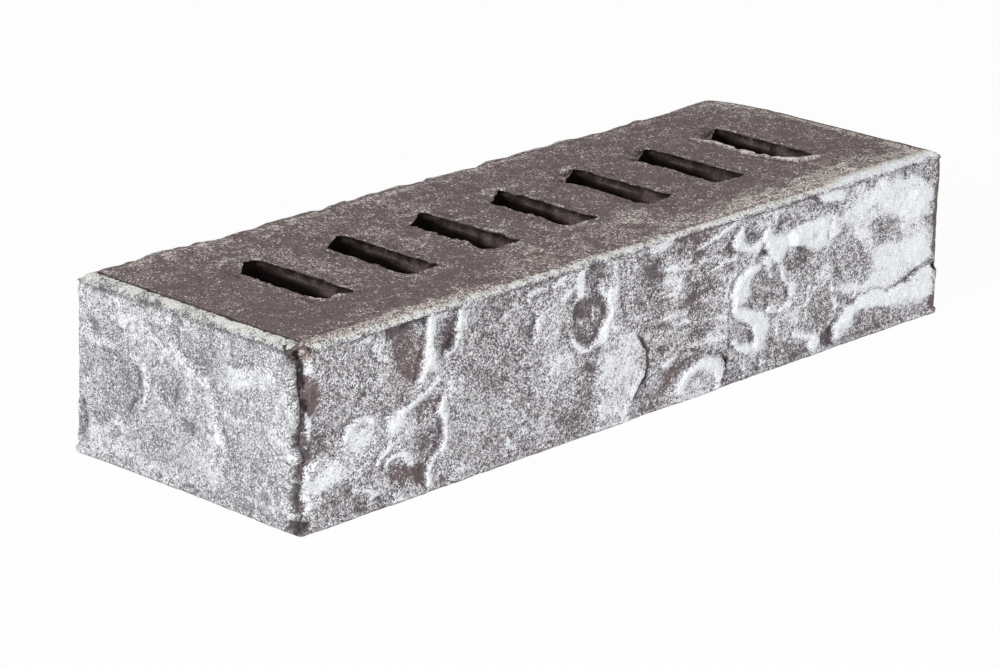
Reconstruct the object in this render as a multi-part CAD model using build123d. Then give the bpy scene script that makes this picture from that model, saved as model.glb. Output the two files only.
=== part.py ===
from build123d import *
import math
import os

# Driving dimensions, in millimetres.
# The brick lies on its bed face: X along its length, Y across its width, Z up, origin under its middle.
LENGTH = 250.0
WIDTH = 84.0
HEIGHT = 49.0

# The rolled arris round the upper bed: how far it reaches in over the bed, and down the face.
ARRIS_INSET = 3.8
ARRIS_DROP = 1.6

# Under the arris a narrow upright lip overhangs the textured field.
LIP_HEIGHT = 0.5

# The plain margin at the foot of each face, and its small rounded edge.
FOOT_MARGIN = 1.5
FOOT_RADIUS = 0.7

# The textured field between the margins lies back from them, behind a short sloping step.
FIELD_DEPTH = 0.5
FIELD_STEP = 0.4

# The upright corners of the extruded column: an arc that meets both faces at a blunt angle.
CORNER_RADIUS = 3.5
CORNER_PROUD = 0.4

# Seven through slots in one row along the brick.
SLOT_COUNT = 7
SLOT_PITCH = 30.0
SLOT_WIDTH = 12.0
SLOT_LENGTH = 37.5
SLOT_CORNER_RADIUS = 3.5
SLOT_MOUTH_WEAR = 0.5

# Each face's field is worked: hollows scooped in, and dragged clay standing up nearly to the margins.
# Places are measured from the face's left end and down from the upper bed, as seen from outside.
RELIEF_RISE = 0.42
RELIEF_ROOT = 0.3

# Round hollows: along, down, half-breadth, depth.
FRONT_HOLLOWS = [
    (36.0, 12.6, 8.0, 0.9),
    (50.4, 9.0, 3.8, 0.8),
    (44.6, 26.2, 3.9, 0.7),
    (36.0, 41.2, 4.9, 0.8),
    (103.0, 16.8, 7.2, 1.1),
    (136.5, 22.0, 9.0, 0.5),
    (170.6, 25.2, 6.6, 0.8),
    (180.0, 41.0, 4.0, 0.6),
    (224.0, 19.0, 6.0, 0.6),
]
LEFT_HOLLOWS = [
    (12.6, 26.4, 9.4, 1.0),
    (45.0, 9.6, 6.2, 0.8),
    (36.4, 23.0, 4.6, 0.7),
    (8.4, 39.6, 3.2, 0.6),
    (30.0, 40.6, 4.8, 0.5),
]
BACK_HOLLOWS = [
    (30.0, 17.0, 8.2, 0.9),
    (92.0, 31.0, 8.6, 0.9),
    (144.0, 17.0, 7.4, 0.9),
    (206.0, 27.0, 9.0, 0.9),
]
RIGHT_HOLLOWS = [
    (22.0, 18.0, 7.6, 0.9),
    (62.0, 29.0, 7.8, 0.8),
]

# Ridges of dragged clay: the breadth, then the line that their middle follows.
FRONT_RIDGES = [
    (2.2, [(45.6, 4.0), (45.2, 8.0), (44.6, 12.5), (42.6, 18.0)]),
    (1.4, [(50.0, 25.0), (48.8, 29.0), (50.4, 35.0), (48.4, 39.0), (44.8, 41.6), (44.6, 45.5)]),
    (2.8, [(171.4, 16.6), (163.6, 18.6), (161.0, 24.6), (163.0, 30.4), (169.0, 33.2), (171.6, 40.0)]),
    (1.4, [(179.4, 18.6), (184.0, 25.4), (184.8, 29.6), (180.4, 32.4)]),
]
LEFT_RIDGES = [
    (2.0, [(50.8, 18.0), (51.6, 24.0), (54.0, 31.0), (57.6, 35.0)]),
    (1.8, [(55.4, 37.6), (52.6, 41.4), (52.0, 45.5)]),
]
BACK_RIDGES = [
    (2.4, [(52.0, 8.0), (57.0, 18.0), (54.0, 30.0), (60.0, 41.0)]),
    (2.4, [(112.0, 38.0), (123.0, 31.0), (136.0, 36.0), (148.0, 32.0)]),
    (2.6, [(172.0, 7.0), (180.0, 16.0), (178.0, 27.0), (184.0, 38.0)]),
]
RIGHT_RIDGES = [
    (2.2, [(40.0, 7.0), (44.0, 18.0), (40.0, 29.0), (45.0, 40.0)]),
]

# Plates of clay smeared on: the outline, round which a smooth closed curve is drawn.
FRONT_PLATES = [
    [(110.5, 6.0), (113.5, 6.5), (114.5, 18.0), (122.0, 27.0), (125.2, 34.0), (121.0, 42.5), (119.0, 46.0),
     (107.0, 46.0), (104.5, 36.0), (107.0, 26.0), (110.0, 17.0)],
    [(138.5, 45.6), (140.4, 41.6), (147.6, 39.2), (154.6, 41.4), (155.6, 45.6), (147.0, 46.2)],
    [(161.5, 8.2), (168.0, 10.2), (175.0, 8.4), (187.0, 9.8), (200.0, 8.8), (206.6, 12.4), (200.0, 17.0),
     (190.0, 16.2), (178.0, 15.6), (168.0, 13.6), (161.0, 11.8)],
    [(205.0, 44.6), (207.0, 40.4), (215.0, 36.4), (221.0, 36.0), (228.0, 38.2), (236.0, 37.0), (244.0, 34.6),
     (245.0, 43.0), (236.0, 42.4), (226.0, 41.6), (214.0, 42.4)],
]

# Bites broken out of the near upright corner: how far down, and the radius of the bite.
CORNER_BITES = [(7.0, 3.4), (28.4, 3.3), (38.4, 3.6)]


def arris_midpoint(half_width):
    """The middle of the arris arc, which is tangent to the bed and ends on the face."""
    radius = (ARRIS_INSET**2 + ARRIS_DROP**2) / (2 * ARRIS_DROP)
    half_turn = math.asin(ARRIS_INSET / radius) / 2
    centre_in = half_width - ARRIS_INSET
    return centre_in + radius * math.sin(half_turn), HEIGHT - radius + radius * math.cos(half_turn)


def face_profile(half_width):
    """The edge of the brick's section from the foot to the bed, on the side of positive width."""
    foot_corner = (half_width - FOOT_RADIUS, 0)
    foot_top = (half_width, FOOT_MARGIN)
    field_low = (half_width - FIELD_DEPTH, FOOT_MARGIN + FIELD_STEP)
    field_high = (half_width - FIELD_DEPTH, HEIGHT - ARRIS_DROP - LIP_HEIGHT - FIELD_STEP)
    lip_low = (half_width, HEIGHT - ARRIS_DROP - LIP_HEIGHT)
    arris_low = (half_width, HEIGHT - ARRIS_DROP)
    arris_high = (half_width - ARRIS_INSET, HEIGHT)
    foot_middle = FOOT_RADIUS * math.cos(math.pi / 4)
    return [
        ThreePointArc(
            foot_corner,
            (half_width - FOOT_RADIUS + foot_middle, FOOT_RADIUS - foot_middle),
            (half_width, FOOT_RADIUS),
        ),
        Polyline((half_width, FOOT_RADIUS), foot_top, field_low, field_high, lip_low, arris_low),
        ThreePointArc(arris_low, arris_midpoint(half_width), arris_high),
    ]


def section(half_width):
    """The whole upright section: one profile, its mirror image, the bed and the foot."""
    right = Curve() + face_profile(half_width)
    left = mirror(right, about=Plane.YZ)
    foot = Line((-half_width + FOOT_RADIUS, 0), (half_width - FOOT_RADIUS, 0))
    bed = Line((half_width - ARRIS_INSET, HEIGHT), (-half_width + ARRIS_INSET, HEIGHT))
    return make_face(Curve() + [foot, *right.edges(), bed, *left.edges()])


def column():
    """The solid column: its plan, its long section and its cross section, taken where all three meet."""
    proud = 2 * CORNER_PROUD
    plan = extrude(RectangleRounded(LENGTH + proud, WIDTH + proud, CORNER_RADIUS), HEIGHT)
    long_section = extrude(Plane.XZ * section(LENGTH / 2), WIDTH / 2, both=True)
    cross_section = extrude(Plane.YZ * section(WIDTH / 2), LENGTH / 2, both=True)
    return plan & long_section & cross_section


def slots():
    """The row of through slots, each with a rounded outline across the brick."""
    outline = RectangleRounded(SLOT_WIDTH, SLOT_LENGTH, SLOT_CORNER_RADIUS)
    row = GridLocations(SLOT_PITCH, 0, SLOT_COUNT, 1)
    return extrude(Sketch() + row * outline, HEIGHT)


def fields():
    """Where each face's field lies, from its upper left end, with its hollows, ridges and plates."""
    long_half = LENGTH / 2
    short_half = WIDTH / 2
    front = Plane((-long_half, FIELD_DEPTH - short_half, HEIGHT), (1, 0, 0), (0, -1, 0))
    left = Plane((FIELD_DEPTH - long_half, short_half, HEIGHT), (0, -1, 0), (-1, 0, 0))
    back = Plane((long_half, short_half - FIELD_DEPTH, HEIGHT), (-1, 0, 0), (0, 1, 0))
    right = Plane((long_half - FIELD_DEPTH, -short_half, HEIGHT), (0, 1, 0), (1, 0, 0))
    return [
        (front, FRONT_HOLLOWS, FRONT_RIDGES, FRONT_PLATES),
        (left, LEFT_HOLLOWS, LEFT_RIDGES, []),
        (back, BACK_HOLLOWS, BACK_RIDGES, []),
        (right, RIGHT_HOLLOWS, RIGHT_RIDGES, []),
    ]


def hollow(along, down, breadth, depth):
    """The ball whose cap scoops a round hollow out of a field, with its axis upright and its seam away."""
    radius = (breadth**2 + depth**2) / (2 * depth)
    return Pos(along, -down, radius - depth) * Rot(90, 0, 0) * Sphere(radius)


def standing(outline):
    """A flat outline raised from just inside the field to its height over it."""
    return Pos(0, 0, -RELIEF_ROOT) * extrude(outline, RELIEF_ROOT + RELIEF_RISE)


def ridge(breadth, line):
    """A ridge of dragged clay along a smooth line."""
    return standing(trace(Spline(*[(along, -down) for along, down in line]), line_width=breadth))


def plate(corners):
    """A plate of clay inside a smooth closed curve."""
    return standing(make_face(Spline(*[(along, -down) for along, down in corners], periodic=True)))


def bites():
    """The balls that break the near upright corner."""
    return [Pos(-LENGTH / 2, -WIDTH / 2, HEIGHT - down) * Sphere(radius) for down, radius in CORNER_BITES]


def brick():
    """The fired brick: the column with its worked fields, less its slots, whose upper mouths are worn back."""
    body = column() - slots()
    bed = body.faces().sort_by(Axis.Z)[-1]
    mouths = [edge for wire in bed.inner_wires() for edge in wire.edges()]
    body = chamfer(mouths, SLOT_MOUTH_WEAR)
    for field, hollows, ridges, plates in fields():
        body -= [field * hollow(*each) for each in hollows]
        body += [field * ridge(*each) for each in ridges] + [field * plate(each) for each in plates]
    return body - bites()


if __name__ == "__main__":
    os.makedirs("parts", exist_ok=True)
    solid = brick().solids()[0]
    export_step(solid, "parts/clay_brick.step")
    print("volume, litres:", round(solid.volume / 1e6, 4))
    print("gross volume, litres:", round(LENGTH * WIDTH * HEIGHT / 1e6, 4))
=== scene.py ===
"""A fired clay facing brick: seven through slots, sanded creased faces and a rolled upper arris."""
import logging
import math
from dataclasses import dataclass, field, replace
from enum import Enum
from functools import partial

import bpy
import numpy as np
from mathutils import Matrix, Vector


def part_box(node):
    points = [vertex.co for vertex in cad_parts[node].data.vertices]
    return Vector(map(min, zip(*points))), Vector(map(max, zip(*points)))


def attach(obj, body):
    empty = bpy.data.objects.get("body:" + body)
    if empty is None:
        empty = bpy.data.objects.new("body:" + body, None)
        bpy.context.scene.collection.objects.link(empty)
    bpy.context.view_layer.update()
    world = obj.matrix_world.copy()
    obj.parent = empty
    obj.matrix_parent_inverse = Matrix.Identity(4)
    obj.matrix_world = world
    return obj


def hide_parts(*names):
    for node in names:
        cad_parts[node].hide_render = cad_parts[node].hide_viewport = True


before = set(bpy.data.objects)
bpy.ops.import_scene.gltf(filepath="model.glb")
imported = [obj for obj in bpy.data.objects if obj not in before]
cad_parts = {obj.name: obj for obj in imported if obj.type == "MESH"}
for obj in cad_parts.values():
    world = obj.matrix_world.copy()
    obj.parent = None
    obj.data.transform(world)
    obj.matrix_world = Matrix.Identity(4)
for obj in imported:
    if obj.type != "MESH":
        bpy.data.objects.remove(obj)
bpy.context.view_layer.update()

Array = np.ndarray
LOG = logging.getLogger("brick")

NODE = "clay_brick"
BODY = "root"
MM = 0.001
WHITE = (1.0, 1.0, 1.0, 1.0)
# How far a raised, pale stroke fades out, in millimetres, where nothing else is said.
TRAIL = 2.6
# What the mesh carries at each point, for the finish; the third is painted shade.
FINISH = ("coat", "warm", "painted_shade", "cool", "bed")


class Side(Enum):
    """The four upright faces, each with its outward direction in plan."""

    FRONT = (0.0, -1.0)
    RIGHT = (1.0, 0.0)
    BACK = (0.0, 1.0)
    LEFT = (-1.0, 0.0)

    @property
    def along(self) -> tuple[float, float]:
        """The direction along the face, to the right as seen from outside."""
        return (-self.value[1], self.value[0])


def ease(low: float, high: float, value: Array) -> Array:
    """A smooth step from 0 at low to 1 at high: k^2 (3 - 2k), with k clipped to 0..1.

    Args:
        low: where the step starts.
        high: where it ends; less than low for a step down.
        value: where it is read.

    Returns:
        The step's height at each value.
    """
    k = np.clip((value - low) / (high - low), 0.0, 1.0)
    return k * k * (3.0 - 2.0 * k)


class Noise:
    """Seeded smooth noise in space, in millimetres."""

    @staticmethod
    def _height(cell: Array, seed: int) -> Array:
        """The height of each lattice corner: its whole coordinates, mixed bit by bit.

        Args:
            cell: the corners' whole coordinates, last axis of 3.
            seed: which noise.

        Returns:
            A value from -1 to 1 for each corner.
        """
        mask = 0xFFFFFFFF
        h = (cell[..., 0] * 73856093) ^ (cell[..., 1] * 19349663) ^ (cell[..., 2] * 83492791)
        h = (h ^ (seed * 668265263)) & mask
        h = ((h ^ (h >> 16)) * 0x45D9F3B) & mask
        h = ((h ^ (h >> 16)) * 0x45D9F3B) & mask
        return (h ^ (h >> 16)) / (mask / 2.0) - 1.0

    @classmethod
    def value(cls, points: Array, size: float, seed: int) -> Array:
        """Noise whose bumps are about size apart.

        A point takes the sum of its cell's eight corner heights, each weighted by the product over the
        axes of w(f) or 1 - w(f), with f the place in the cell and w(f) = f^3 (6 f^2 - 15 f + 10).

        Args:
            points: places, last axis of 3.
            size: distance between lattice corners.
            seed: which noise.

        Returns:
            A value from -1 to 1 for each point.
        """
        q = points / size + 1000.0
        cell = np.floor(q).astype(np.int64)
        f = q - cell
        w = f * f * f * (f * (6.0 * f - 15.0) + 10.0)
        total = np.zeros(points.shape[:-1])
        for corner in range(8):
            offset = np.array([corner & 1, (corner >> 1) & 1, (corner >> 2) & 1])
            share = np.prod(np.where(offset == 1, w, 1.0 - w), axis=-1)
            total += share * cls._height(cell + offset, seed)
        return total

    @classmethod
    def layered(cls, points: Array, size: float, layers: int, seed: int, gain: float = 0.55) -> Array:
        """A sum of noises, each half as large and gain times as high as the last.

        Args:
            points: places, last axis of 3.
            size: how far apart the largest bumps are.
            layers: how many noises.
            seed: which noise comes first.
            gain: how high each is, as a share of the last.

        Returns:
            The sum over the sum of the heights: about -1 to 1.
        """
        total = np.zeros(points.shape[:-1])
        reach = 0.0
        for layer in range(layers):
            share = gain**layer
            total += share * cls.value(points, size / 2.0**layer, seed + layer)
            reach += share
        return total / reach


@dataclass(frozen=True)
class Oval:
    """An elliptical place on a face, in millimetres along it (s) and below its top (t)."""

    s: float
    t: float
    half_s: float
    half_t: float
    turn: float = 0.0

    def distance(self, s: Array, t: Array) -> Array:
        """Distance outside the edge, negative inside: (|(u / half_s, v / half_t)| - 1) * smaller half."""
        c, n = math.cos(math.radians(self.turn)), math.sin(math.radians(self.turn))
        u = c * (s - self.s) + n * (t - self.t)
        v = c * (t - self.t) - n * (s - self.s)
        return (np.hypot(u / self.half_s, v / self.half_t) - 1.0) * min(self.half_s, self.half_t)


@dataclass(frozen=True)
class Stroke:
    """A chain of points (s, t, half-width), joined by straight runs with round ends."""

    points: tuple[tuple[float, float, float], ...]

    def distance(self, s: Array, t: Array) -> Array:
        """Distance outside the stroke: the least over its runs of (distance to the run - half-width).

        Args:
            s: place along the face.
            t: place below its top.

        Returns:
            The distance, negative inside.
        """
        best = np.full(s.shape, np.inf)
        for (s0, t0, w0), (s1, t1, w1) in zip(self.points, self.points[1:]):
            ds, dt = s1 - s0, t1 - t0
            k = np.clip(((s - s0) * ds + (t - t0) * dt) / (ds * ds + dt * dt), 0.0, 1.0)
            gap = np.hypot(s - s0 - k * ds, t - t0 - k * dt) - (w0 + k * (w1 - w0))
            best = np.minimum(best, gap)
        return best


@dataclass(frozen=True)
class Mark:
    """What one place does to the surface around it.

    Inside, the height changes by lift, the finish by coat and warm, and the colour by painted shade that
    stands for shadow in hollows, grooves and under overhangs, all fading over soft millimetres at the
    edge;
    on the edge stands a rim, exp(-(distance / rim_width)^2) high. A trail makes it a one-sided scarp: it
    fades out over that many millimetres to the right (to the left if negative), behind a crisp edge with a
    narrow hollow in front of it, which is darkened with a little painted shade.
    """

    # How a scarp fades: what is left of it, and how far along its trail.
    STAGES = ((0.66, 0.25), (0.42, 0.5), (0.26, 0.75), (0.12, 1.0))
    # How far in front of a scarp's edge the hollow lies, in millimetres.
    AHEAD = 1.3

    place: Oval | Stroke
    lift: float = 0.0
    soft: float = 1.0
    coat: float = 0.0
    warm: float = 0.0
    # Painted shade: how dark the place is painted, standing for shadow in its hollow, its groove or under
    # its overhang.
    painted_shade: float = 0.0
    rim: float = 0.0
    rim_coat: float = 0.0
    rim_width: float = 0.9
    trail: float = 0.0

    def within(self, s: Array, t: Array, spread: float = 0.0) -> Array:
        """How far each point is within the place, 0 to 1.

        Args:
            s: place along the face.
            t: place below its top.
            spread: how far the edge is moved out, in millimetres.

        Returns:
            The share; behind a scarp it falls to nought in stages along the trail.
        """
        half = self.soft / 2.0
        here = ease(half + spread, -half - spread / 2.0, self.place.distance(s, t))
        if self.trail:
            for share, shift in self.STAGES:
                gap = self.place.distance(s - shift * self.trail, t)
                here = np.maximum(here, share * ease(half + 0.6, -half - 0.3, gap))
        return here

    def ahead(self, s: Array, t: Array) -> Array:
        """How far each point is in the hollow in front of a scarp, 0 to 1.

        Args:
            s: place along the face.
            t: place below its top.

        Returns:
            The share: 1 between the edge and its copy moved forward.
        """
        forward = math.copysign(self.AHEAD, self.trail)
        moved = self.place.distance(s + forward, t)
        return ease(0.9, 0.0, moved) * ease(0.0, 0.7, self.place.distance(s, t))


@dataclass
class Skin:
    """The state of a stretch of surface: its height in millimetres, its finish and its painted shade,
    point by point.
    """

    lift: Array
    coat: Array
    warm: Array
    # Painted shade, 0 upwards: darkening that stands for shadow where shade falls.
    painted_shade: Array
    cool: Array

    @classmethod
    def bare(cls, shape: tuple[int, ...], coat: float = 0.0) -> "Skin":
        """A flat surface with an even coat."""
        lift, warm, painted_shade, cool = np.zeros((4, *shape))
        return cls(lift, np.full(shape, coat), warm, painted_shade, cool)

    def add(self, where: Array, lift: float = 0.0, coat: float = 0.0, warm: float = 0.0,
            painted_shade: float = 0.0) -> None:
        """Adds an effect.

        Args:
            where: how strongly it shows at each point.
            lift: what it adds to the height, in millimetres.
            coat: what it adds to the sand.
            warm: what it adds to the warm tone.
            painted_shade: what it adds to the painted shade.
        """
        self.lift += lift * where
        self.coat += coat * where
        self.warm += warm * where
        self.painted_shade += painted_shade * where

    def press(self, marks: tuple[Mark, ...], s: Array, t: Array, vary: Array) -> None:
        """Adds each mark's effect.

        Args:
            marks: what to add, in order.
            s: place of each point along the face.
            t: place of each point below its top.
            vary: about 1, how strongly the marks show at each point.
        """
        for mark in marks:
            inside = vary * mark.within(s, t)
            spread = inside if mark.trail else vary * mark.within(s, t, 0.8)
            self.add(inside, lift=mark.lift, painted_shade=mark.painted_shade)
            self.add(spread, coat=mark.coat, warm=mark.warm)
            if mark.rim:
                edge = np.exp(-np.square(mark.place.distance(s, t) / mark.rim_width))
                self.add(vary * edge, lift=mark.rim, coat=mark.rim_coat)
            if mark.trail:
                # The hollow is half as deep as the scarp is high, with less sand and a little painted
                # shade in it.
                self.add(vary * mark.ahead(s, t), -0.5 * mark.lift, -0.35 * mark.coat, painted_shade=0.1)


def oval(s: float, t: float, half_s: float, half_t: float, turn: float, *effect: float,
         **edge: float) -> Mark:
    """A mark on an elliptical place; effect is its lift, soft, coat, warm and painted shade, edge its rim.
    """
    return Mark(Oval(s, t, half_s, half_t, turn), *effect, **edge)


def tones(*rows: tuple[float, ...]) -> tuple[Mark, ...]:
    """Stains without relief, from rows of s, t, half_s, half_t, soft and coat."""
    return tuple(Mark(Oval(*place), soft=soft, coat=coat) for *place, soft, coat in rows)


def stroke(effect: tuple[float, ...], *points: tuple[float, float, float],
           trail: float | None = None) -> Mark:
    """A mark along a chain of points.

    Args:
        effect: its lift, soft, coat, warm and painted shade; those left out at the end are nought.
        points: s, t and half-width of each point.
        trail: how far a scarp fades out; if None, a raised, pale stroke is a scarp and another is not.

    Returns:
        The mark.
    """
    mark = Mark(Stroke(points), *effect)
    if trail is None:
        trail = TRAIL if min(mark.lift, mark.coat) > 0.15 else 0.0
    return replace(mark, trail=trail)


# A scarp of the short face, which fades out far to the left.
ledge = partial(stroke, trail=-5.5)
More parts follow.
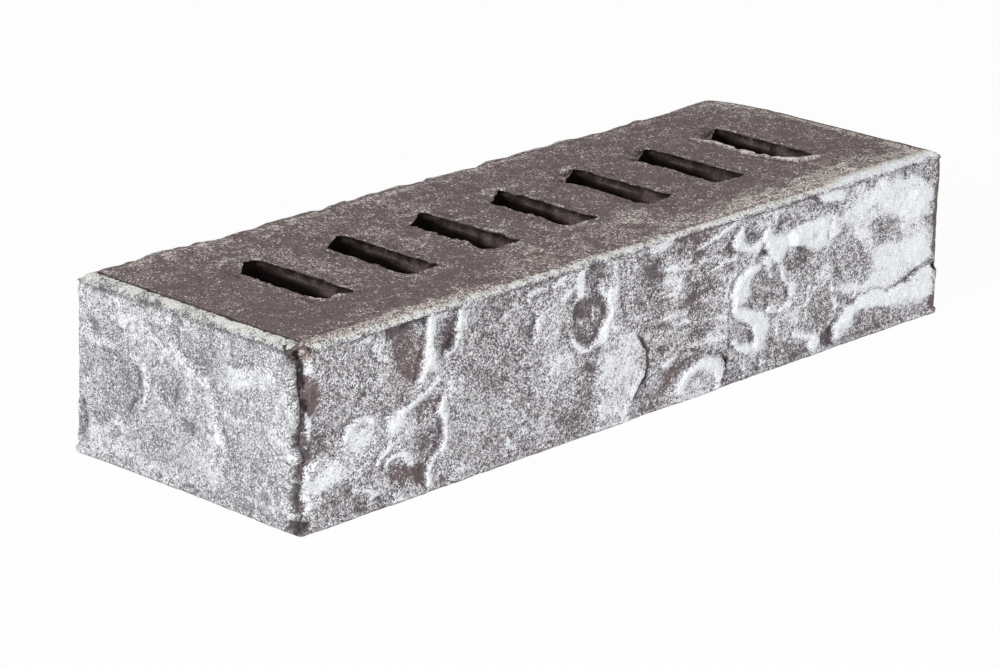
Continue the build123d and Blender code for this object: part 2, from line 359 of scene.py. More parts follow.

# The long face that shows, left to right: s from its left end, t below the upper bed. A fifth effect value
# is painted shade, standing for shadow in hollows, grooves and under overhangs.
FRONT_MARKS = (
    # broad tones
    *tones((2, 4, 3, 4, 2, 0.15), (4, 29, 6, 6, 4, -0.28), (5, 36, 8, 6, 5, 0.24),
        (12, 16, 12, 9, 8, -0.08), (13, 28, 5, 5, 4, -0.14), (24, 20, 5, 5, 4, -0.14),
        (36, 21, 5, 4, 4, 0.1), (36, 28, 4, 4, 3, 0.18), (47, 3, 5, 3, 3, 0.2), (47, 4, 5, 3, 2, 0.14),
        (55, 38, 15, 6, 4, -0.07), (58, 4, 6, 3, 3, 0.12), (66, 18, 18, 15, 14, -0.09),
        (80, 36, 5, 5, 3, -0.16), (92, 4.5, 22, 3, 4, -0.15), (92, 12, 4, 4, 3, 0.1),
        (92, 30, 7, 9, 7, 0.13), (98, 38, 9, 9, 6, -0.14), (100, 32, 8, 6, 6, 0.02),
        (104, 29, 4, 4, 4, -0.16), (108, 22, 5, 8, 5, -0.1), (126, 8, 4, 7, 3, -0.12),
        (126, 12, 6, 8, 5, -0.2), (126, 25, 4, 8, 4, -0.07), (137, 12, 5, 5, 3, 0.22),
        (137, 36, 7, 4, 4, -0.16), (148, 12, 9, 10, 8, -0.12), (148, 25, 6, 7, 5, -0.14),
        (148, 37, 5, 4, 3, -0.1), (160, 12, 4, 4, 4, -0.1), (160, 21, 4, 4, 3, 0.12),
        (160, 28, 5, 6, 4, 0.08), (172, 24, 9, 11, 8, 0.12), (182, 12, 4, 4, 3, 0.15),
        (182, 13, 5, 3, 4, 0.26), (190, 33, 7, 5, 5, 0.1), (204, 12, 4, 4, 3, -0.12),
        (204, 13, 4, 4, 3, -0.16), (212, 14, 8, 9, 6, 0.1), (216, 12, 8, 5, 5, 0.24),
        (216, 28, 4, 5, 3, -0.16), (222, 33, 9, 6, 6, 0.1), (222, 36, 9, 5, 5, 0.26),
        (227, 20, 5, 4, 4, -0.16), (228, 19, 9, 8, 7, 0.14), (228, 29, 8, 6, 5, 0.32),
        (237, 28, 4, 4, 3, 0.12), (240, 29, 8, 5, 5, 0.36), (241, 24, 9, 12, 8, -0.06)),
    # the sides of the broken corner
    oval(3.6, 6, 1.4, 1.8, 0, 0.5, 0.9, 0.45),
    stroke((0.4, 0.7, 0.35), (1.4, 16.5, 0.2), (2.4, 20, 0.25), (3.8, 24, 0.2), trail=0),
    stroke((0.4, 0.7, 0.35), (4.4, 28, 0.2), (3.4, 32, 0.25), (1.6, 36, 0.2), trail=0),
    oval(4.8, 12, 2.2, 4.6, 0, -0.2, 2, -0.2, 0.8),
    oval(2.9, 5.2, 0.9, 1.3, 0, 0.35, 0.8, 0.5),
    stroke((0.3, 0.7, 0.4), (2.2, 15, 0.3), (3.6, 19, 0.35), (3.2, 25, 0.3), trail=0),
    stroke((0.3, 1, 0.3), (2.6, 34, 0.5), (3.2, 38, 0.6), (2.6, 42, 0.5), trail=0),
    # the bare strip at the right end
    stroke((0, 0.9, -0.5, 0.9, 0.06), (248.9, 3, 1), (248.9, 30.4, 0.9)),
    stroke((0, 0.9, -0.5, 0.9, 0.1), (248.4, 35.4, 1.2), (248.6, 46, 1.6)),
    oval(248.7, 34.2, 1.1, 1.1, 0, -0.8, 0.8, -0.4, 0, 0.6),
    # pale lower left, with its rising crest
    oval(13, 32, 11, 6, -8, 0.25, 5, 0.2),
    stroke((0.35, 1.6, 0.4), (15, 28, 0.6), (17, 25, 0.7), (20, 22.8, 0.8), (25, 24.8, 0.6)),
    oval(21, 27, 5, 3.5, 0, 0.2, 3, 0.22),
    stroke((0.3, 1, 0.4), (18, 41, 0.4), (21, 42, 0.5), (24.5, 43.8, 0.4), (24, 47, 0.6)),
    oval(21, 45, 2, 1.6, 0, -0.5, 1.2, -0.25, 0, 0.25),
    oval(14, 41.5, 6, 2.6, 5, -0.25, 3, -0.15, 0, 0.1),
    stroke((0.3, 2, 0.3), (22, 18.5, 1), (25, 17, 1.4), (28, 15, 1)),
    stroke((0.2, 1.4, 0.3), (26, 6, 0.7), (27, 9, 0.6), (30, 9.5, 0.5)),
    # the smooth brown hollow and its ridges
    stroke((-0.7, 3.5, -0.3, 0.85), (34, 4.5, 3), (38, 10, 4.8), (38, 16, 4), (35, 20.5, 2.2)),
    stroke((-0.35, 1.4, -0.29, 0, 0.3), (30, 3, 0.9), (43.5, 3.2, 1.3)),
    stroke((0.75, 1, 0.62), (45.4, 1, 0.3), (44.8, 5, 0.4), (44.2, 9, 1.3), (44.6, 13, 1.5),
        (43.4, 15.5, 0.7), (41.4, 18.4, 0.4)),
    oval(52.8, 6.5, 1.4, 4.6, 4, -0.4, 1.4, -0.28, 0, 0.16),
    stroke((-0.3, 0.9, -0.2, 0, 0.2), (42.6, 8, 0.3), (42, 13, 0.4), (40.5, 17, 0.4)),
    oval(50, 8, 3.2, 5.2, 6, -0.7, 3, -0.15, 0, 0.12),
    oval(51.5, 11.2, 1.6, 1.4, 0, 0, 1.5, -0.22, 0, 0.15),
    stroke((0.75, 0.8, 0.64), (55.3, 1, 0.3), (55.5, 5, 0.4), (54.9, 9, 0.5), (53.4, 12, 0.7),
        (50.5, 13.8, 0.5)),
    oval(47.4, 16.5, 2.2, 1.8, 0, 0.2, 2, 0.25),
    # the wavy line down to the foot
    stroke((0.5, 1.1, 0.52), (47, 20, 0.5), (44.5, 21, 0.6), (42, 22.6, 0.6), (38, 24.4, 0.7),
        (35, 25, 0.9)),
    oval(32.6, 27, 2, 2.4, 20, 0.35, 1.6, 0.45),
    oval(44, 26, 5.5, 3, -12, -0.55, 2.6, -0.18, 0.25),
    stroke((0.5, 1.1, 0.5), (50, 25, 0.5), (48.8, 28.5, 0.7), (50, 33, 0.7), (50.6, 36, 0.5),
        (48.6, 38.6, 0.5), (45.6, 40, 0.5), (44.2, 41.2, 0.7), (44.2, 47, 0.6)),
    oval(45, 35, 4.4, 3.6, 0, -0.4, 3, -0.16, 0, 0.18),
    stroke((0.4, 1.4, 0.4), (31.5, 32.5, 0.7), (28.5, 34.8, 0.9), (26, 37, 0.6)),
    stroke((0.5, 0.7, 0.6), (29, 38, 0.3), (32, 36, 0.4), (35.3, 36.4, 0.5), (37.2, 38.6, 0.5),
        (38, 40.4, 0.3), trail=1.2),
    stroke((-0.65, 1.8, -0.3, 0.9), (32, 39, 1.6), (34, 42, 2.6), (40, 43.4, 2.4)),
    stroke((-0.35, 1.6, -0.25, 0, 0.15), (41.6, 42, 1.6), (42, 45.4, 1.4)),
    # the speckled middle
    stroke((0.3, 1, 0.45), (80.5, 4.6, 0.4), (83, 3.9, 0.5), (86, 4.8, 0.5)),
    stroke((0.4, 1, 0.5), (89.6, 5, 0.4), (91, 3.2, 0.5), (94, 2.2, 0.4)),
    oval(95, 6, 5, 2.6, 0, 0.25, 2, 0.1),
    stroke((0.2, 1.6, 0.3), (98, 5, 1.2), (99, 9, 1)),
    oval(105, 5.5, 3.6, 3.6, 10, -0.45, 2.2, -0.22, 0, 0.2),
    stroke((0.3, 1, 0.32), (84.6, 10.5, 0.4), (83.4, 14, 0.6), (82, 18, 0.5)),
    oval(81.5, 13, 2.2, 2.6, 0, -0.3, 1.6, -0.15),
    stroke((0.25, 1, 0.3), (70, 9.4, 0.4), (73, 7.8, 0.5), (76, 7.6, 0.4)),
    stroke((0.3, 1, 0.35), (72.6, 42, 0.5), (73.4, 44.6, 0.9), (77, 44.4, 0.6)),
    oval(68.5, 42, 3, 2.2, 0, -0.35, 1.8, -0.16, 0.2),
    oval(79, 41.2, 1.3, 0.9, 0, 0.2, 1, 0.35),
    oval(82, 44.6, 3.4, 1.5, 0, -0.25, 1.5, -0.2),
    oval(97, 43, 5, 3, 0, -0.3, 3, -0.12, 0.2),
    oval(88, 15, 5, 5, 0, 0.1, 4, 0.1),
    oval(62, 34, 4, 2.4, 0, 0.15, 3, 0.14),
    # the round hollow
    stroke((-0.5, 1.3, -0.22, 0, 0.2), (95.5, 10.5, 1.8), (98.5, 12.5, 2)),
    oval(93.4, 18, 2, 3.2, 8, -0.4, 1.6, -0.18, 0, 0.15),
    oval(103, 16.8, 7, 6.9, -18, -0.7, 1.2, -0.26, 0.2, 0.02),
    stroke((-0.25, 0.9, -0.2, 0, 0.3), (97.6, 20.5, 0.3), (100, 22.9, 0.4), (103, 23.6, 0.4)),
    stroke((0.5, 1.1, 0.52), (107.6, 10, 0.5), (110.2, 13.4, 0.6), (110.6, 17, 0.6), (109, 20.6, 0.6),
        (106, 24, 0.6), (102.6, 25, 0.5), (99, 24.2, 0.5), (96.4, 20.8, 0.5)),
    # the pale tongue with its overhung right edge, and a painted shadow along that edge
    stroke((0.42, 2.2, 0.2), (112, 4, 1.4), (112, 11, 1.8), (112, 18, 2.6), (113, 25, 5.2),
        (114.5, 31, 8.6), (114.6, 36, 9), (113, 41, 7.4), (113, 46, 7), trail=0),
    stroke((0.3, 1.5, 0.06), (120.4, 27, 0.8), (123, 29, 1), (124, 32, 1.2), (124, 35.5, 1.2),
        (122.4, 38.4, 1.1), (120, 41.6, 0.9)),
    stroke((-0.75, 0.9, -0.5, 0, 0.6), (121.6, 25.6, 0.3), (124.6, 28.4, 0.4), (126, 31.6, 0.5),
        (126.2, 35.6, 0.6), (124.4, 38.8, 0.6), (122.2, 41.8, 0.5), (121, 43, 0.3)),
    stroke((-0.25, 1.4, -0.22, 0, 0.2), (115.6, 15, 0.4), (116.8, 19, 0.5), (119, 23.5, 0.4)),
    # the streaked brown middle right
    oval(137, 22, 14, 15, 0, -0.35, 12, -0.1, 0.25),
    oval(128.5, 2.6, 3.8, 1.5, 4, 0.25, 1.2, 0.5),
    oval(142, 4.6, 8, 2.2, 0, -0.3, 2, -0.22, 0.6),
    stroke((0.4, 0.9, 0.5), (144.6, 6.8, 0.3), (150, 5.8, 0.6), (155, 4.4, 0.6), (160.5, 2.6, 0.5)),
    stroke((0.25, 1.1, 0.32), (136, 10.6, 0.3), (142, 11.6, 0.5), (148, 10.8, 0.5), (154, 12, 0.5)),
    stroke((0.3, 1, 0.42), (152, 13.8, 0.5), (156, 12.8, 0.6), (161, 12.6, 0.4)),
    stroke((0.2, 1.2, 0.3), (128, 16, 0.3), (134, 17, 0.6), (140, 18.6, 0.3)),
    oval(150, 22, 4, 2, 12, 0.2, 1.6, 0.25),
    stroke((0.25, 1.1, 0.36), (134, 25, 0.3), (141, 26.8, 0.6), (147, 27.6, 0.5), (154, 28.4, 0.3)),
    stroke((0.3, 1.1, 0.4), (139, 33.6, 0.3), (146, 34.2, 0.6), (153, 33.8, 0.6), (157, 34.6, 0.3)),
    stroke((0.25, 1, 0.35), (132, 36.6, 0.4), (137, 35.6, 0.6)),
    stroke((-0.3, 1.2, -0.2, 0, 0.12), (141, 37.8, 0.3), (149, 37.2, 0.6), (156, 38.6, 0.4)),
    stroke((-0.2, 1.4, -0.14), (131, 32, 0.4), (138, 31, 0.5), (150, 30.8, 0.6)),
    oval(136, 41.5, 4.4, 2.8, -20, -0.4, 2, -0.24, 0.85),
    oval(128, 45.4, 5, 2.2, 0, -0.3, 2, -0.22, 0.7),
    # the raised flake at the foot, with a painted shadow down its right side
    oval(147, 45.4, 9.6, 5.8, -4, 0.5, 1.2, 0.2, rim=0.2, rim_coat=0.12, rim_width=0.9),
    stroke((0.35, 1, 0.48), (138.6, 44.4, 0.4), (143, 41, 0.4), (149, 39.9, 0.6), (153.8, 41.4, 1.2),
        (155.8, 44, 1.2), (154.6, 46.8, 0.9), trail=0),
    oval(147.5, 43.2, 4.6, 1.2, -6, -0.3, 1.2, -0.18),
    stroke((-0.7, 0.8, -0.5, 0, 0.6), (156.6, 39.4, 0.3), (158.4, 41.6, 0.5), (158.8, 44, 0.5),
        (157.2, 46.4, 0.6)),
    # the pale flames
    stroke((0.6, 1.4, 0.58), (160.6, 8.6, 1.6), (162.4, 6.4, 1.4)),
    stroke((0.5, 1.4, 0.54), (161, 9.6, 1.2), (166, 11.4, 1), (169.6, 11.6, 1), (172.8, 8.8, 1)),
    oval(167, 7.4, 3.2, 2.2, 30, -0.6, 1.4, -0.18, 0, 0.25),
    stroke((0.5, 1.6, 0.54), (173, 9.4, 1.2), (176, 12.4, 2.4), (181, 12.8, 1.6), (186, 12.6, 2)),
    stroke((0.3, 1.2, 0.52), (176, 14, 1.4), (178.6, 16.4, 0.9)),
    oval(180, 8.4, 4.2, 2.2, 10, -0.5, 1.6, -0.15, 0, 0.15),
    stroke((0.75, 1.8, 0.55), (186, 12.4, 2.4), (191, 12.6, 3.6), (198, 12.8, 3.8), (203, 12, 3),
        (206.4, 11.4, 1.8)),
    stroke((0.35, 1.4, 0.5), (192, 16, 1), (196, 17.4, 1), (200.4, 16.8, 0.8)),
    oval(172, 14.6, 2.4, 1, 0, -0.4, 0.9, -0.22, 0, 0.25),
    oval(187, 18.6, 5.4, 3.6, 14, -0.5, 2, -0.2, 0, 0.1),
    stroke((0.4, 1, 0.54), (194.6, 1.8, 0.4), (198, 2.8, 1.1), (202, 3.2, 1.6), (205, 4.4, 1.3)),
    stroke((-0.35, 0.9, -0.29, 0, 0.35), (195, 4.6, 0.3), (199, 6.2, 0.4), (204, 7.2, 0.4)),
    # the ring and its stem
    oval(173, 24.6, 5.8, 5.8, 12, -0.5, 2.4, -0.26, 0.15, 0.06),
    stroke((0.75, 1, 0.62), (171, 17, 0.4), (166.6, 17.6, 0.9), (162.8, 20.4, 1.6), (161.6, 24, 1.6),
        (161, 27.4, 0.8), (162.8, 29.8, 0.9), (166.6, 31.6, 1.1), trail=6.5),
    stroke((-0.4, 0.8, -0.22, 0, 0.35), (162, 26.4, 0.4), (166, 27.6, 0.7), (168.4, 28.4, 0.5)),
    stroke((0.4, 0.9, 0.52), (173.6, 16, 0.6), (174.8, 19.4, 0.5), (176.6, 22.4, 0.3)),
    stroke((0.55, 1, 0.54), (179.2, 18.6, 0.4), (181, 22, 0.5), (183.8, 25.4, 0.5), (185.4, 28.4, 0.6),
        (183.4, 31.2, 0.9), (180.6, 31.6, 0.6)),
    oval(183.6, 28, 1.2, 1.8, -20, -0.4, 1, -0.18, 0, 0.2),
    stroke((0.5, 1.2, 0.56), (167, 31.6, 1.2), (171, 32.8, 2.3), (172.4, 36, 2.7), (171.6, 39.6, 2.2),
        trail=1.2),
    stroke((0.4, 1.2, 0.4), (176, 31, 1), (180, 31.8, 0.8)),
    oval(178, 35.4, 4, 3, 0, 0.1, 2.4, 0.16),
    oval(165.6, 36.4, 2.6, 1.8, -10, -0.55, 1, -0.22, 0, 0.25),
    stroke((0.4, 1.1, 0.52), (160.4, 36.4, 0.7), (162.8, 38.6, 0.8), (166, 40.4, 1.2), (170, 41, 1.6)),
    stroke((0.2, 1, 0.35), (163.6, 44.8, 0.6), (166.4, 45.8, 0.4)),
    stroke((0.25, 1, 0.35), (172.4, 44, 0.5), (172.8, 47, 0.6)),
    oval(179, 42.6, 4.6, 3.2, 0, -0.4, 2, -0.22, 0.3),
    # the right end
    oval(214, 8, 6, 5, 0, 0.1, 3, 0.16),
    stroke((0.4, 3.2, 0.5), (222, 7, 2.6), (230, 9, 5), (238, 11, 6), (243, 12, 3.6), trail=0),
    stroke((0.2, 4, 0.26), (238, 16, 6), (240, 26, 5.6)),
    oval(234, 4.4, 2.2, 1.4, 0, -0.3, 1, -0.22, 0, 0.1),
    oval(242.4, 6.2, 2.4, 1.2, 15, -0.35, 1, -0.25, 0, 0.15),
    oval(200, 26, 3.2, 2.6, 0, 0.25, 1.8, 0.32),
    oval(205.4, 27, 2.6, 2.4, 0, -0.3, 1.6, -0.2, 0, 0.12),
    stroke((0.2, 2, 0.22), (213, 17, 0.9), (217, 18.4, 1.8), (218.4, 22.6, 2)),
    oval(224, 17.4, 4.6, 2.4, 10, -0.3, 2, -0.16),
    stroke((0.3, 1.2, 0.45), (203.4, 37, 0.5), (207, 36.6, 0.8), (209.4, 38.4, 0.6)),
    oval(208.6, 36.2, 3, 1.4, 10, -0.4, 1.2, -0.22, 0, 0.2),
    stroke((0.25, 1.4, 0.3), (203, 31.4, 0.7), (210, 33, 0.9), (217, 33.4, 0.8), (221, 31.8, 0.6)),
    # the long flame along the foot, under a crack darkened with painted shade
    stroke((0.6, 1.4, 0.52), (206, 42.6, 1.4), (211, 40, 1.8), (215.6, 38, 2), (220, 38, 2.2),
        (228, 40, 2.2), (236, 39.2, 2.9), (242, 38.4, 4.3), (246, 38.8, 4.8)),
    stroke((0.25, 2.6, 0.3), (232, 41, 2.6), (243, 41.4, 3)),
    stroke((-0.5, 0.9, -0.42, 0, 0.2), (211, 38, 0.3), (214.4, 35.9, 0.3), (220, 35, 0.3),
        (228, 37.2, 0.4), (235, 36.2, 0.4), (240, 33.7, 0.4), (247.4, 32.4, 0.3)),
    stroke((0.35, 1.1, 0.5), (205.4, 42.6, 0.9), (205.2, 46.6, 0.7)),
    oval(209, 43.6, 3.4, 1.8, -14, 0.3, 1.6, 0.3),
    oval(201, 44.4, 3, 2.4, -20, -0.6, 1.4, -0.29, 0, 0.2),
    oval(195.4, 45.6, 1.8, 2.2, 0, 0.4, 1.2, 0.5),
    stroke((0.35, 1.2, 0.5), (186.6, 40.6, 0.7), (190, 42, 0.9), (192.6, 42.6, 0.6)),
    oval(189, 46, 4.6, 1.6, 0, -0.3, 1.4, -0.22, 0.6),
    oval(222, 44.6, 8, 2.6, 0, -0.3, 2.4, -0.2, 0.35),
    oval(197.5, 36.4, 5, 5, 0, -0.2, 4, -0.16, 0.3),
)

# The short face that shows, left to right: s from its left end, t below the upper bed. A fifth effect
# value is painted shade, standing for shadow in hollows, grooves and under overhangs.
LEFT_MARKS = (
    oval(80.6, 29.2, 1.5, 1.2, 0, 0.6, 0.8, 0.45),
    *tones((4, 18, 6, 16, 6, 0.08), (10, 30, 8, 8, 8, 0.04)),
    oval(5.6, 12.6, 2.6, 1.8, 10, -0.35, 1.6, -0.2),
    ledge((0.35, 1.6, 0.16), (2, 16.6, 0.7), (8, 16.8, 0.8), (15, 16.4, 0.7)),
    stroke((-0.4, 0.9, -0.25, 0, 0.15), (2, 18.6, 0.3), (9, 18.9, 0.35), (16, 18.2, 0.3)),
    oval(12.5, 26, 12.8, 7.6, 4, -0.9, 3.2, -0.16),
    stroke((-0.3, 1.8, -0.24, 0, 0.18), (22.8, 20.8, 1.1), (23.6, 24, 1.4), (22.8, 28, 1.4),
        (20.4, 31, 0.7)),
    ledge((0.5, 1.4, 0.2), (25.6, 19, 0.6), (26.6, 23, 0.8), (26.4, 27.5, 0.8), (24.4, 31, 0.6)),
    oval(22.6, 33.6, 3.9, 1.9, -32, -0.6, 1.2, -0.16, 0, 0.06),
    ledge((0.5, 1.4, 0.26), (14.6, 37.2, 0.8), (19, 37.2, 0.9), (24.6, 35, 0.7)),
    oval(8.4, 37, 4.4, 2.6, 0, -0.5, 1.4, -0.14),
    ledge((0.45, 1.2, 0.25), (4, 36.4, 0.4), (6, 39.4, 0.6), (9.4, 40.4, 0.7), (13.6, 39.2, 0.6)),
    oval(1.6, 39, 2, 5.2, 0, -0.8, 1.6, -0.3, 0, 0.35),
    oval(36.6, 22.6, 5, 3.8, -25, -0.6, 2.6, -0.16),
    stroke((-0.2, 1.4, -0.2, 0, 0.14), (39.6, 20.4, 0.9), (38.2, 23.4, 1)),
    ledge((0.45, 1.2, 0.25), (30, 25, 0.4), (31.8, 27.8, 0.7), (34.4, 29, 0.9), (35.4, 31, 0.5)),
    oval(43.5, 31.6, 3.4, 1.8, 8, -0.5, 1.6, -0.2, 0, 0.16),
    oval(30, 41, 5.2, 4.6, 0, -0.3, 3.4, -0.12),
    oval(45, 8.6, 8.6, 6.4, 12, -0.7, 2.6, -0.12),
    ledge((0.6, 1.4, 0.25), (36, 10.6, 0.5), (40, 14, 0.7), (45, 16.4, 0.8), (50, 17.2, 0.7)),
    stroke((-0.35, 0.8, -0.25, 0, 0.25), (49.6, 14.8, 0.3), (53, 16.2, 0.4)),
    ledge((0.65, 1.8, 0.22), (50.8, 18, 0.7), (51.4, 23, 0.9), (52.6, 28, 1), (54.6, 32, 1.1),
        (56.8, 34.4, 0.8)),
    ledge((0.5, 1.6, 0.22), (56.6, 35, 0.6), (54.6, 38, 0.8), (52.4, 41, 0.8), (51.8, 45, 0.7)),
    oval(46, 37, 5, 6, 0, 0.25, 5, 0.12),
    stroke((-0.3, 1.6, -0.1), (53.4, 20, 0.6), (54.6, 27, 0.6), (57.6, 32.6, 0.6)),
    oval(66, 12, 7.4, 2.8, -12, 0.3, 2.4, 0.26),
    stroke((-0.35, 0.8, -0.25, 0, 0.2), (60, 10.2, 0.3), (66, 8.8, 0.35), (70, 6.4, 0.3)),
    oval(77, 26, 2.6, 1.8, 20, 0.35, 1.6, 0.2),
    oval(67, 27.6, 2.2, 1.6, 0, 0.25, 1.8, 0.16),
    oval(78, 43, 2.6, 1.6, 0, 0.3, 1.6, 0.2),
    oval(64, 37, 8, 5, 0, -0.2, 5, -0.06),
    oval(20, 9, 8, 4, 0, 0.15, 4, 0.12),
)


# The main forms of the two faces that are turned away.
BACK_MARKS = (
    oval(30, 17, 8.6, 7.6, 10, -0.85, 3, -0.2),
    oval(92, 31, 9.2, 7.6, -8, -0.85, 2.6, -0.2, 0.5),
    oval(144, 17, 7.8, 7, 0, -0.85, 2.4, -0.22),
    oval(206, 27, 9.4, 8.4, 12, -0.85, 3, -0.2, 0.4),
    stroke((0.6, 1.5, 0.42), (52, 8, 0.8), (57, 18, 1.4), (54, 30, 1.2), (60, 41, 0.8)),
    stroke((0.6, 1.6, 0.42), (112, 38, 0.8), (123, 31, 1.5), (136, 36, 1.3), (148, 32, 0.8)),
    stroke((0.6, 1.5, 0.45), (172, 7, 0.9), (180, 16, 1.5), (178, 27, 1.3), (184, 38, 0.8)),
    stroke((0.3, 3, 0.3), (228, 12, 1), (236, 20, 4), (234, 30, 4.6)),
    stroke((0.3, 3, 0.25), (4, 36, 1.5), (14, 38, 4), (24, 36, 2)),
    oval(122, 12, 9, 6, -10, -0.2, 5, -0.12, 0.6),
)
RIGHT_MARKS = (
    oval(22, 18, 8.2, 7.2, 8, -0.85, 3, -0.18),
    oval(62, 29, 8.2, 7.4, -14, -0.75, 3, -0.18, 0.3),
    stroke((0.6, 1.6, 0.35), (40, 7, 0.8), (44, 18, 1.3), (40, 29, 1.2), (45, 40, 0.8)),
    stroke((0.3, 2.6, 0.25), (6, 36, 1.2), (16, 40, 3), (26, 37, 1.4)),
    stroke((0.3, 2.6, 0.25), (62, 8, 1.2), (70, 11, 3), (77, 9, 1.4)),
)


def strewn_marks(length: float, height: float, seed: int) -> tuple[Mark, ...]:
    """Creases, hollows and flakes for a face that the eye seldom meets, strewn in a seeded order; hollows
    and dark creases carry painted shade.

    Args:
        length: the face's length, in millimetres.
        height: its height.
        seed: which strewing.

    Returns:
        The marks, about one for each 110 square millimetres.
    """
    area = 110.0
    hollow, wide, dark = 0.34, 0.85, 0.9
    rng = np.random.default_rng(seed)
    marks = []
    for _ in range(int(length * height / area)):
        s, t = rng.uniform(3.0, length - 3.0), rng.uniform(4.0, height - 4.0)
        kind = rng.random()
        if kind < hollow:
            # A hollow, darkened with a little painted shade.
            marks.append(oval(s, t, rng.uniform(2, 6.5), rng.uniform(1.6, 4.6), rng.uniform(-40, 40),
                              rng.uniform(-0.4, -0.15), rng.uniform(1.2, 3), rng.uniform(-0.25, -0.08),
                              rng.choice([0.0, 0.0, 0.6]), rng.uniform(0, 0.15)))
            continue
        heading = rng.uniform(-0.5, 0.5) + rng.choice([0.0, 0.0, math.pi / 2])
        points = []
        for _ in range(rng.integers(3, 6)):
            points.append((s, t, rng.uniform(0.4, 1.3) * (1.6 if kind > wide else 1.0)))
            heading += rng.uniform(-0.7, 0.7)
            step = rng.uniform(2.0, 4.5)
            s, t = s + step * math.cos(heading), t + step * math.sin(heading)
        # A pale crease is raised and sanded; a dark one is sunk, with less sand, and darkened with painted
        # shade.
        pale = kind < dark
        effect = (rng.uniform(0.2, 0.5) if pale else -0.4, rng.uniform(1.0, 1.8),
                  rng.uniform(0.2, 0.45) if pale else -0.3, 0.0, 0.0 if pale else 0.25)
        marks.append(stroke(effect, *points))
    return tuple(marks)


@dataclass(frozen=True)
class Bite:
    """A place broken out of the near upright corner.

    It is an oval: t is its middle and half its half-height; middle is how far round the corner it sits,
    towards the short face if positive; reach is its half-width, depth how deep it is and lean how far
    its lower end sits towards the short face, in millimetres. The last amount makes it a bare patch of
    clay, darkened with painted shade.
    """

    t: float
    half: float
    middle: float
    reach: float
    depth: float = 0.0
    lean: float = 0.0
    painted_shade: float = 0.0


# The broken places down the near corner, from the top: the hollows, then the bare patches in them,
# darkened with painted shade.
NEAR_BITES = (
    Bite(7.2, 5.8, 0.0, 4.4, 2.2),
    Bite(12.0, 5.0, 0.2, 3.0, 1.7),
    Bite(17.6, 4.8, 0.3, 1.0, 1.2),
    Bite(24.4, 4.0, 0.9, 3.0, 1.7),
    Bite(30.4, 4.2, -0.3, 4.0, 2.1),
    Bite(40.2, 5.4, 0.9, 4.0, 2.1),
    Bite(46.9, 1.9, 0.2, 4.4, 1.8),
    Bite(3.0, 2.2, 1.6, 3.0, painted_shade=0.26),
    Bite(7.6, 4.2, -0.1, 2.5, lean=-0.4, painted_shade=0.54),
    Bite(12.6, 3.4, -0.8, 1.9, lean=-0.2, painted_shade=0.6),
    Bite(13.8, 3.6, -3.4, 2.6, lean=-0.8, painted_shade=0.12),
    Bite(19.0, 4.6, -0.3, 0.9, painted_shade=0.42),
    Bite(24.2, 3.0, 0.9, 2.4, lean=0.7, painted_shade=0.42),
    Bite(30.6, 4.2, -0.1, 2.9, lean=1.4, painted_shade=0.24),
    Bite(40.6, 5.1, 1.0, 2.7, lean=-0.6, painted_shade=0.16),
    Bite(46.9, 1.7, 0.2, 3.4, painted_shade=0.34),
)


@dataclass(frozen=True)
class SlotMouth:
    """How one slot's upper mouth departs from the plain outline, in millimetres.

    drag_x and drag_y are the legs of the burr dragged over its back left corner, gape the depth of the
    crescent left open behind the burr, crumb the roughness of the rim, and shift how far behind the
    slot's back edge the burr's corner lies (in front of it if negative).
    """

    drag_x: float
    drag_y: float
    gape: float
    crumb: float
    shift: float


# The seven mouths, from the left.
MOUTHS = (
    SlotMouth(7.5, 7.5, 0.0, 0.49, 0.12),
    SlotMouth(9.5, 6.5, 0.0, 0.56, -0.48),
    SlotMouth(10.5, 6.5, 0.0, 0.7, -0.64),
    SlotMouth(11.0, 7.0, 0.0, 0.77, -0.64),
    SlotMouth(10.5, 7.0, 0.7, 0.49, -0.56),
    SlotMouth(10.5, 7.0, 0.8, 0.56, -0.36),
    SlotMouth(11.0, 8.0, 0.9, 0.49, -0.4),
)

